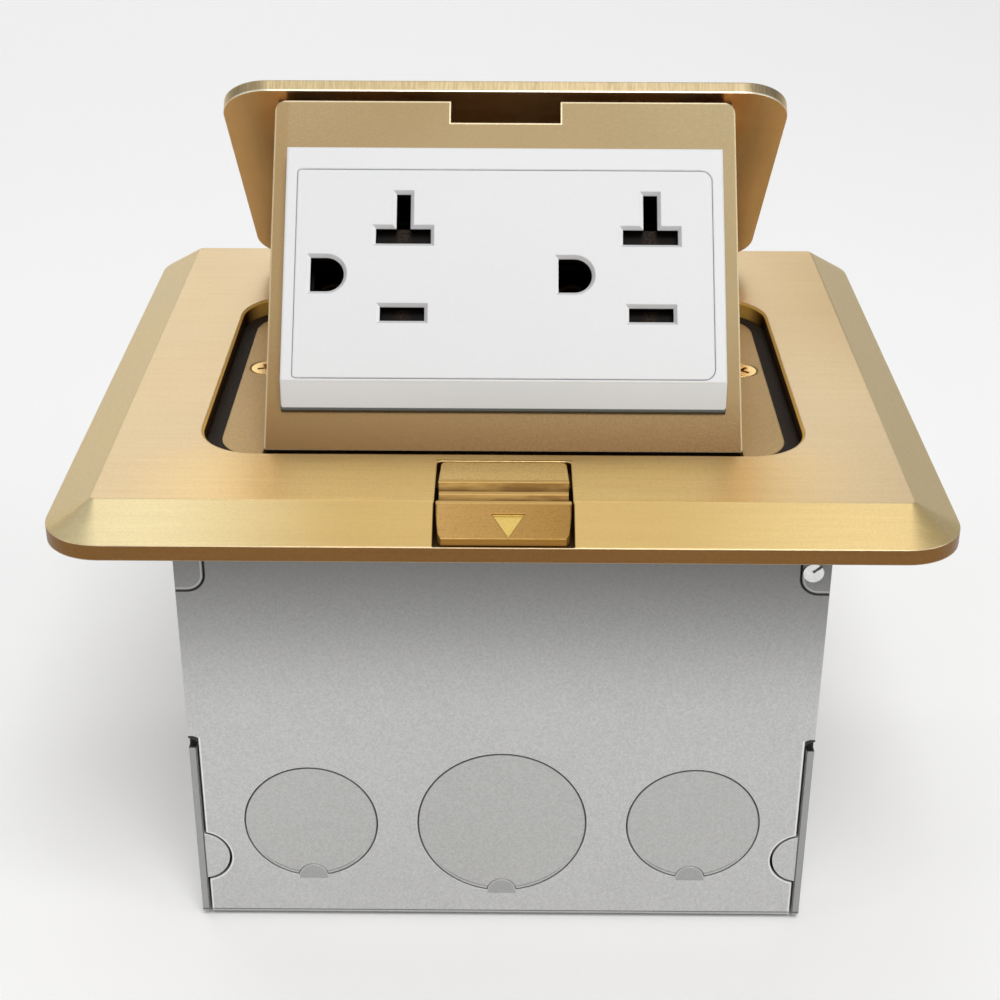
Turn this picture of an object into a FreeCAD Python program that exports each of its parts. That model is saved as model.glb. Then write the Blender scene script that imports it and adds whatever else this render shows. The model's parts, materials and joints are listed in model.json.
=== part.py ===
import FreeCAD, Part
import Sketcher
import math
import os
from FreeCAD import Vector, Rotation, Placement

# Floor socket box: a sheet-steel box let into a floor, a bevelled brass floor plate, and a
# spring-lifted carrier with a duplex 20 A receptacle under a hinged brass lid.
# Units mm.  Z = 0 is the underside of the box, +Z up; X = 0 is the middle; -Y is the front,
# where the latch is.  The model is drawn with the lid open, which is its rest state.

doc = FreeCAD.newDocument("FloorSocketBox")
sheet = doc.addObject("Spreadsheet::Sheet", "Dims")

# ------------------------------------------------------------------ driving dimensions
CELLS = [
    # box
    ("box_width", 101.9, "box, outside, X"), ("box_depth", 87.0, "box, outside, Y"),
    ("box_height", 79.2, "box underside to floor line"), ("steel", 1.2, "box sheet thickness"),
    ("wrap_bend", 1.6, "outer bend radius of the wrap"), ("notch_top", 36.4, "top of the side relief in the front sheet"),
    ("notch_half", 49.3, "half width of the front sheet below the relief"), ("notch_round", 1.7, "corner radius of the relief"),
    ("strip_top", 34.6, "top of the side sheet edge that shows in the relief"),
    ("tab_radius", 4.55, "half-round locking tab"), ("tab_centre_x", 50.25, "tab centre, half spacing"), ("tab_centre_z", 12.5, "tab centre height"),
    ("tab_gap", 0.45, "gap round the tab"), ("ear_inner", 46.4, "inner edge of the folded ear"), ("ear_bottom", 64.2, "bottom of the folded ear"),
    ("ear_round", 2.8, "ear corner radius"), ("ear_gap", 0.16, "gap round the ear"),
    ("knock_z", 19.6, "knockout centre height"), ("knock_x", 31.8, "side knockout offset"), ("knock_half_r", 11.15, "half inch knockout radius"),
    ("knock_big_r", 14.1, "three quarter inch knockout radius"), ("knock_cut", 0.14, "width of the sheared line"), ("pry_r", 2.4, "pry notch radius"),
    ("fix_hole_r", 2.25, "side fixing hole radius"), ("fix_hole_y", 22.0, "side fixing hole offset"), ("fix_hole_z", 57.0, "side fixing hole height"),
    # floor plate
    ("flange_width", 134.4, "floor plate X"), ("flange_depth", 122.2, "floor plate Y"), ("flange_rim", 2.37, "upright rim height"),
    ("flange_height", 6.37, "floor plate height"), ("bevel_run", 7.15, "bevel, horizontal"), ("flange_round", 9.0, "corner radius"),
    ("flange_crease_round", 0.6, "corner radius at the top of the bevel"), ("skin_under", 3.47, "height of the underside of the plate's skin"),
    ("rim_wall", 6.0, "width of the rim under the plate"), ("open_half", 46.97, "opening half width"), ("open_front", -38.39, "opening front edge"),
    ("open_rear", 27.76, "opening rear edge"), ("open_round", 9.2, "opening corner radius"),
    # latch
    ("latch_x", 0.17, "latch centre"), ("latch_half", 10.15, "half width of the latch channel"), ("latch_rear", -40.9, "rear end of the channel"),
    ("latch_step", -46.0, "step between shallow and deep channel"), ("latch_deep", 2.4, "floor of the deep channel"), ("latch_shallow", 4.5, "floor of the shallow channel"),
    ("button_half", 9.9, "half width of the button at its widest"), ("button_rear", -41.3, "rear end of the button"), ("button_crease", -54.6, "top of the button's sloping face"),
    ("button_front", -60.6, "front end of the button"), ("button_front_z", 3.62, "top of the button's front lip"), ("button_clear", 0.1, "running gap under the button"),
    ("latch_travel", 3.0, "latch travel"),
    # frame and gasket
    ("frame_plate", 1.6, "frame base thickness"), ("frame_top", 3.65, "platform top above the floor line"), ("frame_half", 52.0, "frame half width"),
    ("frame_y", 44.0, "frame half depth"), ("platform_half", 44.6, "platform half width"), ("platform_front", -34.0, "platform front edge"),
    ("platform_rear", 25.3, "platform rear edge"), ("platform_round", 7.0, "platform front corner radius"), ("slot_half", 37.5, "half width of the carrier cut-out"), ("slot_front", -39.8, "front of the cut-out"),
    ("slot_rear", 20.3, "rear of the cut-out"), ("gasket_half", 50.0, "gasket outer half width"), ("gasket_front", -43.8, "gasket front"), ("gasket_rear", 37.0, "gasket rear"),
    ("frame_screw_x", 40.8, "frame screw offset"), ("frame_screw_y", 0.9, "frame screw Y"), ("frame_screw_r", 1.5, "frame screw radius"), ("frame_head_r", 2.7, "frame screw head radius"),
    ("plate_screw_x", 45.9, "floor plate screw offset"), ("plate_screw_front", -38.9, "front floor plate screws, Y"), ("plate_screw_rear", 33.0, "rear floor plate screws, Y"),
    ("plate_screw_r", 1.25, "floor plate screw radius"),
    # hinge
    ("pivot_y", 38.5, "hinge axis Y"), ("pivot_drop", 19.0, "hinge axis below the floor line"), ("pin_r", 1.5, "hinge pin radius"), ("pin_half", 41.2, "hinge pin half length"),
    ("pin_running", 0.06, "radial running clearance"), ("bracket_steel", 1.4, "bracket thickness"), ("bracket_in", 37.6, "bracket ear inner face"),
    ("eye_r", 3.1, "hinge eye radius"), ("tie_r", 1.8, "cross tie radius"), ("tie_y", 14.0, "cross tie Y"), ("tie_drop", 5.5, "cross tie below the floor line"),
    # carrier
    ("carrier_half", 36.9, "carrier half width"), ("carrier_long", 57.7, "carrier front plate length"), ("carrier_steel", 1.6, "carrier front plate thickness"),
    ("cheek_steel", 1.4, "carrier cheek thickness"), ("carrier_round", 1.8, "top corner radius"), ("catch_left", -8.7, "catch notch left"), ("catch_right", 8.9, "catch notch right"),
    ("catch_deep", 3.65, "catch notch depth"), ("plate_top_y", 0.59, "top edge of the front plate, Y"), ("plate_top_z", 50.34, "top edge above the floor line"),
    ("plate_tilt", 50.8, "front plate from horizontal, degrees"),
    # lid
    ("lid_width", 92.9, "lid X"), ("lid_long", 64.3, "lid length"), ("lid_thick", 1.95, "lid thickness"), ("lid_round", 8.0, "lid corner radius"),
    ("lid_y", 1.8, "front lower edge of the open lid, Y"), ("lid_z", 51.6, "front lower edge above the floor line"), ("lid_tilt", 45.7, "opening angle, degrees"),
    ("lid_undercut", 4.0, "rear edge undercut"), ("lid_land", 0.15, "land at the rear edge"),
    # receptacle
    ("surround_half", 34.4, "white surround half width"), ("surround_top", 9.3, "surround top edge from the plate top"), ("surround_bottom", 51.5, "surround lower edge"),
    ("surround_proud", 3.49, "surround height"), ("surround_bevel", 47.5, "start of the lower bevel"), ("surround_foot", 0.7, "height left under the bevel"),
    ("face_half", 32.55, "receptacle face half width"), ("face_top", 13.1, "face top edge"), ("face_bottom", 47.1, "face lower edge"), ("face_gap", 0.08, "seam round the face"),
    ("seam_bevel", 0.1, "bevel either side of the seam"), ("face_round_left", 0.6, "face corner radius, left"), ("face_round_right", 1.7, "face corner radius, right"),
    ("outlet_left", -15.8, "left blade slot centre"), ("outlet_right", 22.85, "right blade slot centre"), ("ground_offset", 11.9, "ground hole from the blade slots"),
    ("neutral_line", 23.95, "neutral bar centre"), ("hot_line", 36.65, "hot slot centre"), ("ground_line", 30.3, "ground hole centre"), ("ground_r", 2.73, "ground hole radius"),
    ("bar_long", 8.6, "neutral bar length"), ("bar_wide", 2.4, "neutral bar width"), ("stem_wide", 2.2, "neutral stem width"), ("stem_top", 17.05, "top of the neutral stem"),
    ("hot_long", 6.9, "hot slot length"), ("hot_wide", 2.2, "hot slot width"), ("rim_cut", 0.55, "bevel round the slots"), ("shutter_travel", 3.0, "shutter travel"),
    ("body_half", 32.3, "receptacle housing half width"), ("body_top", 13.4, "housing top side"), ("body_bottom", 46.8, "housing lower side"), ("body_back", 26.0, "housing depth behind the plate"),
    ("strap_steel", 1.2, "mounting strap thickness"),
]
VAL = {}
for row, (alias, value, note) in enumerate(CELLS, start=1):
    sheet.set("A%d" % row, alias)
    sheet.set("B%d" % row, repr(float(value)))
    sheet.setAlias("B%d" % row, alias)
    sheet.set("C%d" % row, note)
    VAL[alias] = float(value)
doc.recompute()


class Q:
    """A size: its number now, and the expression over the sheet that keeps it."""

    def __init__(self, v, e):
        self.v = float(v)
        self.e = e

    def _op(self, o, sign, f):
        o = q(o)
        return Q(f(self.v, o.v), "(%s %s %s)" % (self.e, sign, o.e))

    def __add__(self, o):
        return self._op(o, "+", lambda a, b: a + b)

    def __radd__(self, o):
        return q(o) + self

    def __sub__(self, o):
        return self._op(o, "-", lambda a, b: a - b)

    def __rsub__(self, o):
        return q(o) - self

    def __mul__(self, o):
        return self._op(o, "*", lambda a, b: a * b)

    def __rmul__(self, o):
        return q(o) * self

    def __truediv__(self, o):
        return self._op(o, "/", lambda a, b: a / b)

    def __neg__(self):
        return Q(-self.v, "(0 - %s)" % self.e)


def q(x):
    return x if isinstance(x, Q) else Q(x, "(%r)" % float(x) if x < 0 else "%r" % float(x))


class Names:
    def __getattr__(self, name):
        return Q(VAL[name], "Dims." + name)


d = Names()
FL = d.box_height          # floor line: underside of the floor plate, top of the box


# ------------------------------------------------------------------ small builders
def bind(obj, prop, x):
    x = q(x)
    obj.setExpression(prop, x.e)


def at(obj, x=0, y=0, z=0):
    x, y, z = q(x), q(y), q(z)
    rot = obj.Placement.Rotation
    obj.Placement = Placement(Vector(x.v, y.v, z.v), rot)
    bind(obj, "Placement.Base.x", x)
    bind(obj, "Placement.Base.y", y)
    bind(obj, "Placement.Base.z", z)
    return obj


def block(name, x0, x1, y0, y1, z0, z1):
    x0, x1, y0, y1, z0, z1 = [q(k) for k in (x0, x1, y0, y1, z0, z1)]
    o = doc.addObject("Part::Box", name)
    for prop, a, b in (("Length", x0, x1), ("Width", y0, y1), ("Height", z0, z1)):
        setattr(o, prop, b.v - a.v)
        bind(o, prop, b - a)
    return at(o, x0, y0, z0)


TURN = {"x": Rotation(Vector(0, 1, 0), 90), "y": Rotation(Vector(1, 0, 0), -90), "z": Rotation()}


def rod(name, axis, radius, length, x, y, z):
    radius, length = q(radius), q(length)
    o = doc.addObject("Part::Cylinder", name)
    o.Radius, o.Height = radius.v, length.v
    bind(o, "Radius", radius)
    bind(o, "Height", length)
    o.Placement = Placement(Vector(0, 0, 0), TURN[axis])
    return at(o, x, y, z)


def cone(name, axis, r1, r2, length, x, y, z):
    r1, r2, length = q(r1), q(r2), q(length)
    o = doc.addObject("Part::Cone", name)
    o.Radius1, o.Radius2, o.Height = r1.v, r2.v, length.v
    bind(o, "Radius1", r1)
    bind(o, "Radius2", r2)
    bind(o, "Height", length)
    o.Placement = Placement(Vector(0, 0, 0), TURN[axis])
    return at(o, x, y, z)


def hexagon(name, axis, across, length, x, y, z):
    across, length = q(across), q(length)
    o = doc.addObject("Part::Prism", name)
    o.Polygon = 6
    o.Circumradius, o.Height = across.v / math.sqrt(3.0), length.v
    bind(o, "Circumradius", across * 0.57735)
    bind(o, "Height", length)
    o.Placement = Placement(Vector(0, 0, 0), TURN[axis])
    return at(o, x, y, z)


def cut(name, base, tool):
    o = doc.addObject("Part::Cut", name)
    o.Base, o.Tool = base, tool
    return o


def fuse(name, parts):
    if len(parts) == 1:
        return parts[0]
    o = doc.addObject("Part::MultiFuse", name)
    o.Shapes = parts
    o.Refine = False
    return o


def common(name, a, b):
    o = doc.addObject("Part::MultiCommon", name)
    o.Shapes = [a, b]
    return o


def group(name, parts):
    o = doc.addObject("Part::Compound", name)
    o.Links = parts
    return o


def mirror_x(name, source):
    o = doc.addObject("Part::Mirroring", name)
    o.Source = source
    o.Base = Vector(0, 0, 0)
    o.Normal = Vector(1, 0, 0)
    return o


def mirror_y(name, source):
    o = doc.addObject("Part::Mirroring", name)
    o.Source = source
    o.Base = Vector(0, 0, 0)
    o.Normal = Vector(0, 1, 0)
    return o


def body(name):
    return doc.addObject("PartDesign::Body", name)


def sketch_on(bod, name, role, offset=0):
    sk = bod.newObject("Sketcher::SketchObject", name)
    plane = [f for f in bod.Origin.OriginFeatures if f.Role == role][0]
    sk.AttachmentSupport = [(plane, "")]
    sk.MapMode = "FlatFace"
    offset = q(offset)
    sk.AttachmentOffset = Placement(Vector(0, 0, offset.v), Rotation())
    if offset.v != 0:
        sk.setExpression("AttachmentOffset.Base.z", offset.e)
    return sk


def dim(sk, kind, args, value, label):
    value = q(value)
    i = sk.addConstraint(Sketcher.Constraint(kind, *(list(args) + [value.v])))
    sk.renameConstraint(i, label)
    sk.setExpression("Constraints." + label, value.e)


def locate(sk, geo, pos, x, y, label):
    """Hold one sketch point at x, y from the sketch origin."""
    x, y = q(x), q(y)
    if x.v == 0:
        sk.addConstraint(Sketcher.Constraint("PointOnObject", geo, pos, -2))
    else:
        dim(sk, "DistanceX", (-1, 1, geo, pos), x, label + "x")
    if y.v == 0:
        sk.addConstraint(Sketcher.Constraint("PointOnObject", geo, pos, -1))
    else:
        dim(sk, "DistanceY", (-1, 1, geo, pos), y, label + "y")


def round_rect(sk, x0, x1, y0, y1, r_low, r_high, tag="a"):
    """Rectangle with rounded corners; r_low for the two corners at y0, r_high at y1."""
    x0, x1, y0, y1, rl, rh = [q(k) for k in (x0, x1, y0, y1, r_low, r_high)]
    n = sk.GeometryCount
    a, b, c, e = x0.v, x1.v, y0.v, y1.v
    l, g = rl.v, rh.v
    up = Vector(0, 0, 1)
    sk.addGeometry([
        Part.LineSegment(Vector(a + l, c, 0), Vector(b - l, c, 0)),
        Part.ArcOfCircle(Part.Circle(Vector(b - l, c + l, 0), up, l), -math.pi / 2, 0),
        Part.LineSegment(Vector(b, c + l, 0), Vector(b, e - g, 0)),
        Part.ArcOfCircle(Part.Circle(Vector(b - g, e - g, 0), up, g), 0, math.pi / 2),
        Part.LineSegment(Vector(b - g, e, 0), Vector(a + g, e, 0)),
        Part.ArcOfCircle(Part.Circle(Vector(a + g, e - g, 0), up, g), math.pi / 2, math.pi),
        Part.LineSegment(Vector(a, e - g, 0), Vector(a, c + l, 0)),
        Part.ArcOfCircle(Part.Circle(Vector(a + l, c + l, 0), up, l), math.pi, 3 * math.pi / 2)], False)
    for k in range(8):
        sk.addConstraint(Sketcher.Constraint("Tangent", n + k, 2, n + (k + 1) % 8, 1))
    for k, kind in ((0, "Horizontal"), (2, "Vertical"), (4, "Horizontal"), (6, "Vertical")):
        sk.addConstraint(Sketcher.Constraint(kind, n + k))
    for k, r in ((1, rl), (3, rh), (5, rh), (7, rl)):
        dim(sk, "Radius", (n + k,), r, "%sr%d" % (tag, k))
    dim(sk, "DistanceX", (-1, 1, n + 6, 1), x0, tag + "left")
    dim(sk, "DistanceX", (-1, 1, n + 2, 1), x1, tag + "right")
    dim(sk, "DistanceY", (-1, 1, n + 0, 1), y0, tag + "low")
    dim(sk, "DistanceY", (-1, 1, n + 4, 1), y1, tag + "high")


def round_rect_lr(sk, x0, x1, y0, y1, r_left, r_right, tag="a"):
    """Rectangle with rounded corners; r_left for the two corners at x0, r_right at x1."""
    x0, x1, y0, y1, rl, rr = [q(k) for k in (x0, x1, y0, y1, r_left, r_right)]
    n = sk.GeometryCount
    a, b, c, e = x0.v, x1.v, y0.v, y1.v
    l, g = rl.v, rr.v
    up = Vector(0, 0, 1)
    sk.addGeometry([
        Part.LineSegment(Vector(a + l, c, 0), Vector(b - g, c, 0)),
        Part.ArcOfCircle(Part.Circle(Vector(b - g, c + g, 0), up, g), -math.pi / 2, 0),
        Part.LineSegment(Vector(b, c + g, 0), Vector(b, e - g, 0)),
        Part.ArcOfCircle(Part.Circle(Vector(b - g, e - g, 0), up, g), 0, math.pi / 2),
        Part.LineSegment(Vector(b - g, e, 0), Vector(a + l, e, 0)),
        Part.ArcOfCircle(Part.Circle(Vector(a + l, e - l, 0), up, l), math.pi / 2, math.pi),
        Part.LineSegment(Vector(a, e - l, 0), Vector(a, c + l, 0)),
        Part.ArcOfCircle(Part.Circle(Vector(a + l, c + l, 0), up, l), math.pi, 3 * math.pi / 2)], False)
    for k in range(8):
        sk.addConstraint(Sketcher.Constraint("Tangent", n + k, 2, n + (k + 1) % 8, 1))
    for k, kind in ((0, "Horizontal"), (2, "Vertical"), (4, "Horizontal"), (6, "Vertical")):
        sk.addConstraint(Sketcher.Constraint(kind, n + k))
    for k, r in ((1, rr), (3, rr), (5, rl), (7, rl)):
        dim(sk, "Radius", (n + k,), r, "%sr%d" % (tag, k))
    dim(sk, "DistanceX", (-1, 1, n + 6, 1), x0, tag + "left")
    dim(sk, "DistanceX", (-1, 1, n + 2, 1), x1, tag + "right")
    dim(sk, "DistanceY", (-1, 1, n + 0, 1), y0, tag + "low")
    dim(sk, "DistanceY", (-1, 1, n + 4, 1), y1, tag + "high")


def polygon(sk, pts, tag="p"):
    pts = [(q(x), q(y)) for x, y in pts]
    n = sk.GeometryCount
    m = len(pts)
    sk.addGeometry([Part.LineSegment(Vector(pts[k][0].v, pts[k][1].v, 0),
                                     Vector(pts[(k + 1) % m][0].v, pts[(k + 1) % m][1].v, 0)) for k in range(m)], False)
    for k in range(m):
        sk.addConstraint(Sketcher.Constraint("Coincident", n + k, 2, n + (k + 1) % m, 1))
    for k in range(m):
        locate(sk, n + k, 1, pts[k][0], pts[k][1], "%s%d" % (tag, k))


def disc(sk, x, y, r, tag="c"):
    x, y, r = q(x), q(y), q(r)
    n = sk.addGeometry(Part.Circle(Vector(x.v, y.v, 0), Vector(0, 0, 1), r.v), False)
    dim(sk, "Radius", (n,), r, tag + "r")
    locate(sk, n, 3, x, y, tag)


def pad(bod, name, sk, length, reversed_=False, midplane=False):
    f = bod.newObject("PartDesign::Pad", name)
    f.Profile = sk
    f.Type = 0
    f.Reversed = reversed_
    f.Midplane = midplane
    length = q(length)
    f.Length = length.v
    bind(f, "Length", length)
    bod.Tip = f
    return f


def pocket(bod, name, sk, length, reversed_=False, midplane=False):
    f = bod.newObject("PartDesign::Pocket", name)
    f.Profile = sk
    f.Type = 0
    f.Reversed = reversed_
    f.Midplane = midplane
    length = q(length)
    f.Length = length.v
    bind(f, "Length", length)
    bod.Tip = f
    return f


def edges_where(shape, test):
    return ["Edge%d" % (i + 1) for i, e in enumerate(shape.Edges) if test(e)]


def chamfer(bod, name, base, names, size):
    f = bod.newObject("PartDesign::Chamfer", name)
    f.Base = (base, names)
    size = q(size)
    f.Size = size.v
    bind(f, "Size", size)
    bod.Tip = f
    return f


def fillet(bod, name, base, names, size):
    f = bod.newObject("PartDesign::Fillet", name)
    f.Base = (base, names)
    size = q(size)
    f.Radius = size.v
    bind(f, "Radius", size)
    bod.Tip = f
    return f


NODES = []


def node(obj, name):
    obj.Label = name
    NODES.append(obj)
    return obj


# The plate frame: x along the carrier, y up the front plate, z out of it, origin at its top edge.
# The lid frame: x along the lid, y back along it, z out of its top, origin at its lower front edge.
def in_plate_frame(obj):
    y, z = d.plate_top_y, d.plate_top_z + FL
    obj.Placement = Placement(Vector(0, y.v, z.v), Rotation(Vector(1, 0, 0), VAL["plate_tilt"]))
    bind(obj, "Placement.Base.y", y)
    bind(obj, "Placement.Base.z", z)
    bind(obj, "Placement.Rotation.Angle", d.plate_tilt)
    return obj


def in_lid_frame(obj):
    y, z = d.lid_y, d.lid_z + FL
    obj.Placement = Placement(Vector(0, y.v, z.v), Rotation(Vector(-1, 0, 0), VAL["lid_tilt"]))
    bind(obj, "Placement.Base.y", y)
    bind(obj, "Placement.Base.z", z)
    bind(obj, "Placement.Rotation.Angle", d.lid_tilt)
    return obj


HW = d.box_width / 2
HD = d.box_depth / 2
T = d.steel
LX = d.latch_x

# ------------------------------------------------------------------ floor plate (flange)
fl = body("FlangeBody")
s = sketch_on(fl, "FlangeOutline", "XY_Plane", FL)
round_rect(s, -d.flange_width / 2, d.flange_width / 2, -d.flange_depth / 2, d.flange_depth / 2, d.flange_round, d.flange_round)
pad(fl, "FlangeRim", s, d.flange_rim)
s1 = sketch_on(fl, "BevelFoot", "XY_Plane", FL + d.flange_rim)
round_rect(s1, -d.flange_width / 2, d.flange_width / 2, -d.flange_depth / 2, d.flange_depth / 2, d.flange_round, d.flange_round)
s2 = sketch_on(fl, "BevelCrease", "XY_Plane", FL + d.flange_height)
round_rect(s2, -d.flange_width / 2 + d.bevel_run, d.flange_width / 2 - d.bevel_run, -d.flange_depth / 2 + d.bevel_run, d.flange_depth / 2 - d.bevel_run,
           d.flange_crease_round, d.flange_crease_round)
loft = fl.newObject("PartDesign::AdditiveLoft", "FlangeBevel")
loft.Profile = s1
loft.Sections = [s2]
loft.Ruled = True
fl.Tip = loft
s = sketch_on(fl, "OpeningOutline", "XY_Plane", FL - 1)
round_rect(s, -d.open_half, d.open_half, d.open_front, d.open_rear, d.open_round, d.open_round)
p1 = pocket(fl, "Opening", s, d.flange_height + 3, reversed_=True)
s = sketch_on(fl, "HollowOutline", "XY_Plane", FL - 1)
round_rect(s, -d.flange_width / 2 + d.rim_wall, d.flange_width / 2 - d.rim_wall, -d.flange_depth / 2 + d.rim_wall, d.flange_depth / 2 - d.rim_wall, 4, 4)
p2 = pocket(fl, "Hollow", s, d.skin_under + 1, reversed_=True)
# bed of the latch, cast under the skin
s = sketch_on(fl, "LatchBedOutline", "XY_Plane", FL + 1.45)
polygon(s, [(LX - 12.3, -55.6), (LX + 12.3, -55.6), (LX + 12.3, -45.2), (LX - 12.3, -45.2)])
pad(fl, "LatchBed", s, d.skin_under - 1.45 + 0.1)
s = sketch_on(fl, "ChannelDeepOutline", "XY_Plane", FL + 9)
polygon(s, [(LX - d.latch_half, -63.0), (LX + d.latch_half, -63.0), (LX + d.latch_half, d.latch_step + 0.01), (LX - d.latch_half, d.latch_step + 0.01)])
pocket(fl, "ChannelDeep", s, 9 - d.latch_deep)
s = sketch_on(fl, "ChannelShallowOutline", "XY_Plane", FL + 9)
round_rect(s, LX - d.latch_half, LX + d.latch_half, d.latch_step - 3, d.latch_rear, 0.9, 0.9)
pocket(fl, "ChannelShallow", s, 9 - d.latch_shallow)
s = sketch_on(fl, "StemSlotOutline", "XY_Plane", FL - 1)
polygon(s, [(LX - 5.3, -57.7), (LX + 5.3, -57.7), (LX + 5.3, -49.7), (LX - 5.3, -49.7)])
pocket(fl, "StemSlot", s, d.latch_deep + 1.2, reversed_=True)
s = sketch_on(fl, "LeafReliefOutline", "XY_Plane", FL - 1)
polygon(s, [(LX - 6.5, -58.7), (LX + 6.5, -58.7), (LX + 6.5, -54.9), (LX - 6.5, -54.9)])
pocket(fl, "LeafRelief", s, 1 + 1.45, reversed_=True)
s = sketch_on(fl, "SpringPostOutline", "XY_Plane", FL + d.latch_deep - 0.2)
polygon(s, [(LX - 7.9, -57.6), (LX - 6.7, -57.6), (LX - 6.7, -56.6), (LX - 7.9, -56.6)], "pa")
polygon(s, [(LX + 6.7, -57.6), (LX + 7.9, -57.6), (LX + 7.9, -56.6), (LX + 6.7, -56.6)], "pb")
pad(fl, "SpringPosts", s, 1.6)
s = sketch_on(fl, "PlateScrewHoles", "XY_Plane", FL - 1)
for i, (sx, yy) in enumerate(((-1, d.plate_screw_front), (1, d.plate_screw_front), (-1, d.plate_screw_rear), (1, d.plate_screw_rear))):
    disc(s, d.plate_screw_x * sx, yy, d.plate_screw_r, "h%d" % i)
pk = pocket(fl, "TappedHoles", s, 1 + 5.2, reversed_=True)
doc.recompute()
top = VAL["box_height"] + VAL["flange_height"]
rim_edges = edges_where(pk.Shape, lambda e: abs(e.BoundBox.ZMin - top) < 1e-5 and abs(e.BoundBox.ZMax - top) < 1e-5
                        and abs(e.CenterOfMass.x) < 47.2 and -38.6 < e.CenterOfMass.y < 28.0)
chamfer(fl, "OpeningEdge", pk, rim_edges, 0.35)
node(fl, "flange_plate")

# ------------------------------------------------------------------ mounting frame
fr = body("FrameBody")
s = sketch_on(fr, "FrameBase", "XY_Plane", FL)
round_rect(s, -d.frame_half, d.frame_half, -d.frame_y, d.frame_y, 2, 2)
pad(fr, "FrameBasePad", s, d.frame_plate)
s = sketch_on(fr, "PlatformOutline", "XY_Plane", FL + d.frame_plate)
round_rect(s, -d.platform_half, d.platform_half, d.platform_front, d.platform_rear, d.platform_round, 7.5)
pad(fr, "Platform", s, d.frame_top - d.frame_plate)
s = sketch_on(fr, "CarrierCutOut", "XY_Plane", FL + 8)
polygon(s, [(-d.slot_half, d.slot_front), (d.slot_half, d.slot_front), (d.slot_half, d.slot_rear), (-d.slot_half, d.slot_rear)])
pocket(fr, "CarrierSlot", s, 12)
s = sketch_on(fr, "CatchGateOutline", "XY_Plane", FL + 8)
polygon(s, [(LX - 6.9, -46), (LX + 6.9, -46), (LX + 6.9, d.slot_front + 0.5), (LX - 6.9, d.slot_front + 0.5)])
pocket(fr, "CatchGate", s, 12)
s = sketch_on(fr, "FrameHoles", "XY_Plane", FL - 1)
for i, (sx, yy) in enumerate(((-1, d.plate_screw_front), (1, d.plate_screw_front), (-1, d.plate_screw_rear), (1, d.plate_screw_rear))):
    disc(s, d.plate_screw_x * sx, yy, d.plate_screw_r, "h%d" % i)
disc(s, -d.frame_screw_x, d.frame_screw_y, d.frame_screw_r, "va")
disc(s, d.frame_screw_x, d.frame_screw_y, d.frame_screw_r, "vb")
pocket(fr, "FrameHolePocket", s, 8, reversed_=True)
csk = group("Countersinks", [cone("CskL", "z", d.frame_screw_r, d.frame_head_r + 0.35, 1.55, -d.frame_screw_x, d.frame_screw_y, FL + d.frame_top - 1.5),
                             cone("CskR", "z", d.frame_screw_r, d.frame_head_r + 0.35, 1.55, d.frame_screw_x, d.frame_screw_y, FL + d.frame_top - 1.5)])
node(cut("FrameCut", fr, csk), "mounting_frame")

# ------------------------------------------------------------------ gasket between frame and floor plate
gk = body("GasketBody")
s = sketch_on(gk, "GasketOutline", "XY_Plane", FL + d.frame_plate)
round_rect(s, -d.gasket_half, d.gasket_half, d.gasket_front, d.gasket_rear, 5, 8)
pad(gk, "GasketPad", s, d.skin_under - d.frame_plate)
s = sketch_on(gk, "GasketInner", "XY_Plane", FL + 9)
round_rect(s, -d.platform_half, d.platform_half, d.platform_front, d.platform_rear, d.platform_round, 7.5)
pocket(gk, "GasketHole", s, 9)
s = sketch_on(gk, "GasketFrontRelief", "XY_Plane", FL + 9)
polygon(s, [(-d.slot_half, d.slot_front), (d.slot_half, d.slot_front), (d.slot_half, d.platform_front + 2), (-d.slot_half, d.platform_front + 2)])
pocket(gk, "GasketRelief", s, 9)
s = sketch_on(gk, "GasketHoles", "XY_Plane", FL - 1)
for i, (sx, yy) in enumerate(((-1, d.plate_screw_front), (1, d.plate_screw_front), (-1, d.plate_screw_rear), (1, d.plate_screw_rear))):
    disc(s, d.plate_screw_x * sx, yy, d.plate_screw_r, "h%d" % i)
pocket(gk, "GasketHolePocket", s, 8, reversed_=True)
node(gk, "lid_gasket")


# ------------------------------------------------------------------ screws
def cross_recess(tag, x, y, z_top, size=1.5, deep=0.8, wide=0.55, turn=25):
    a = block(tag + "A", q(-size), size, -wide / 2, wide / 2, 0, deep + 0.3)
    b = block(tag + "B", -wide / 2, wide / 2, q(-size), size, 0, deep + 0.3)
    f = fuse(tag + "X", [a, b])
    f.Placement = Placement(Vector(0, 0, 0), Rotation(Vector(0, 0, 1), turn))
    return at(f, x, y, z_top - deep)


def flat_screw(tag, x, turn):
    head = cone(tag + "Head", "z", d.frame_screw_r, d.frame_head_r, 1.3, x, d.frame_screw_y, FL + d.frame_top - 1.5)
    shank = rod(tag + "Shank", "z", d.frame_screw_r, 7.0, x, d.frame_screw_y, FL + d.frame_top - 8.5)
    land = rod(tag + "Land", "z", d.frame_head_r, 0.15, x, d.frame_screw_y, FL + d.frame_top - 0.2)
    return cut(tag, fuse(tag + "F", [head, shank, land]), cross_recess(tag + "R", x, d.frame_screw_y, FL + d.frame_top - 0.05, 1.6, 0.9, 0.6, turn))


node(group("FrameScrews", [flat_screw("FrameScrewL", -d.frame_screw_x, 20), flat_screw("FrameScrewR", d.frame_screw_x, 50)]), "frame_screws")


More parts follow.
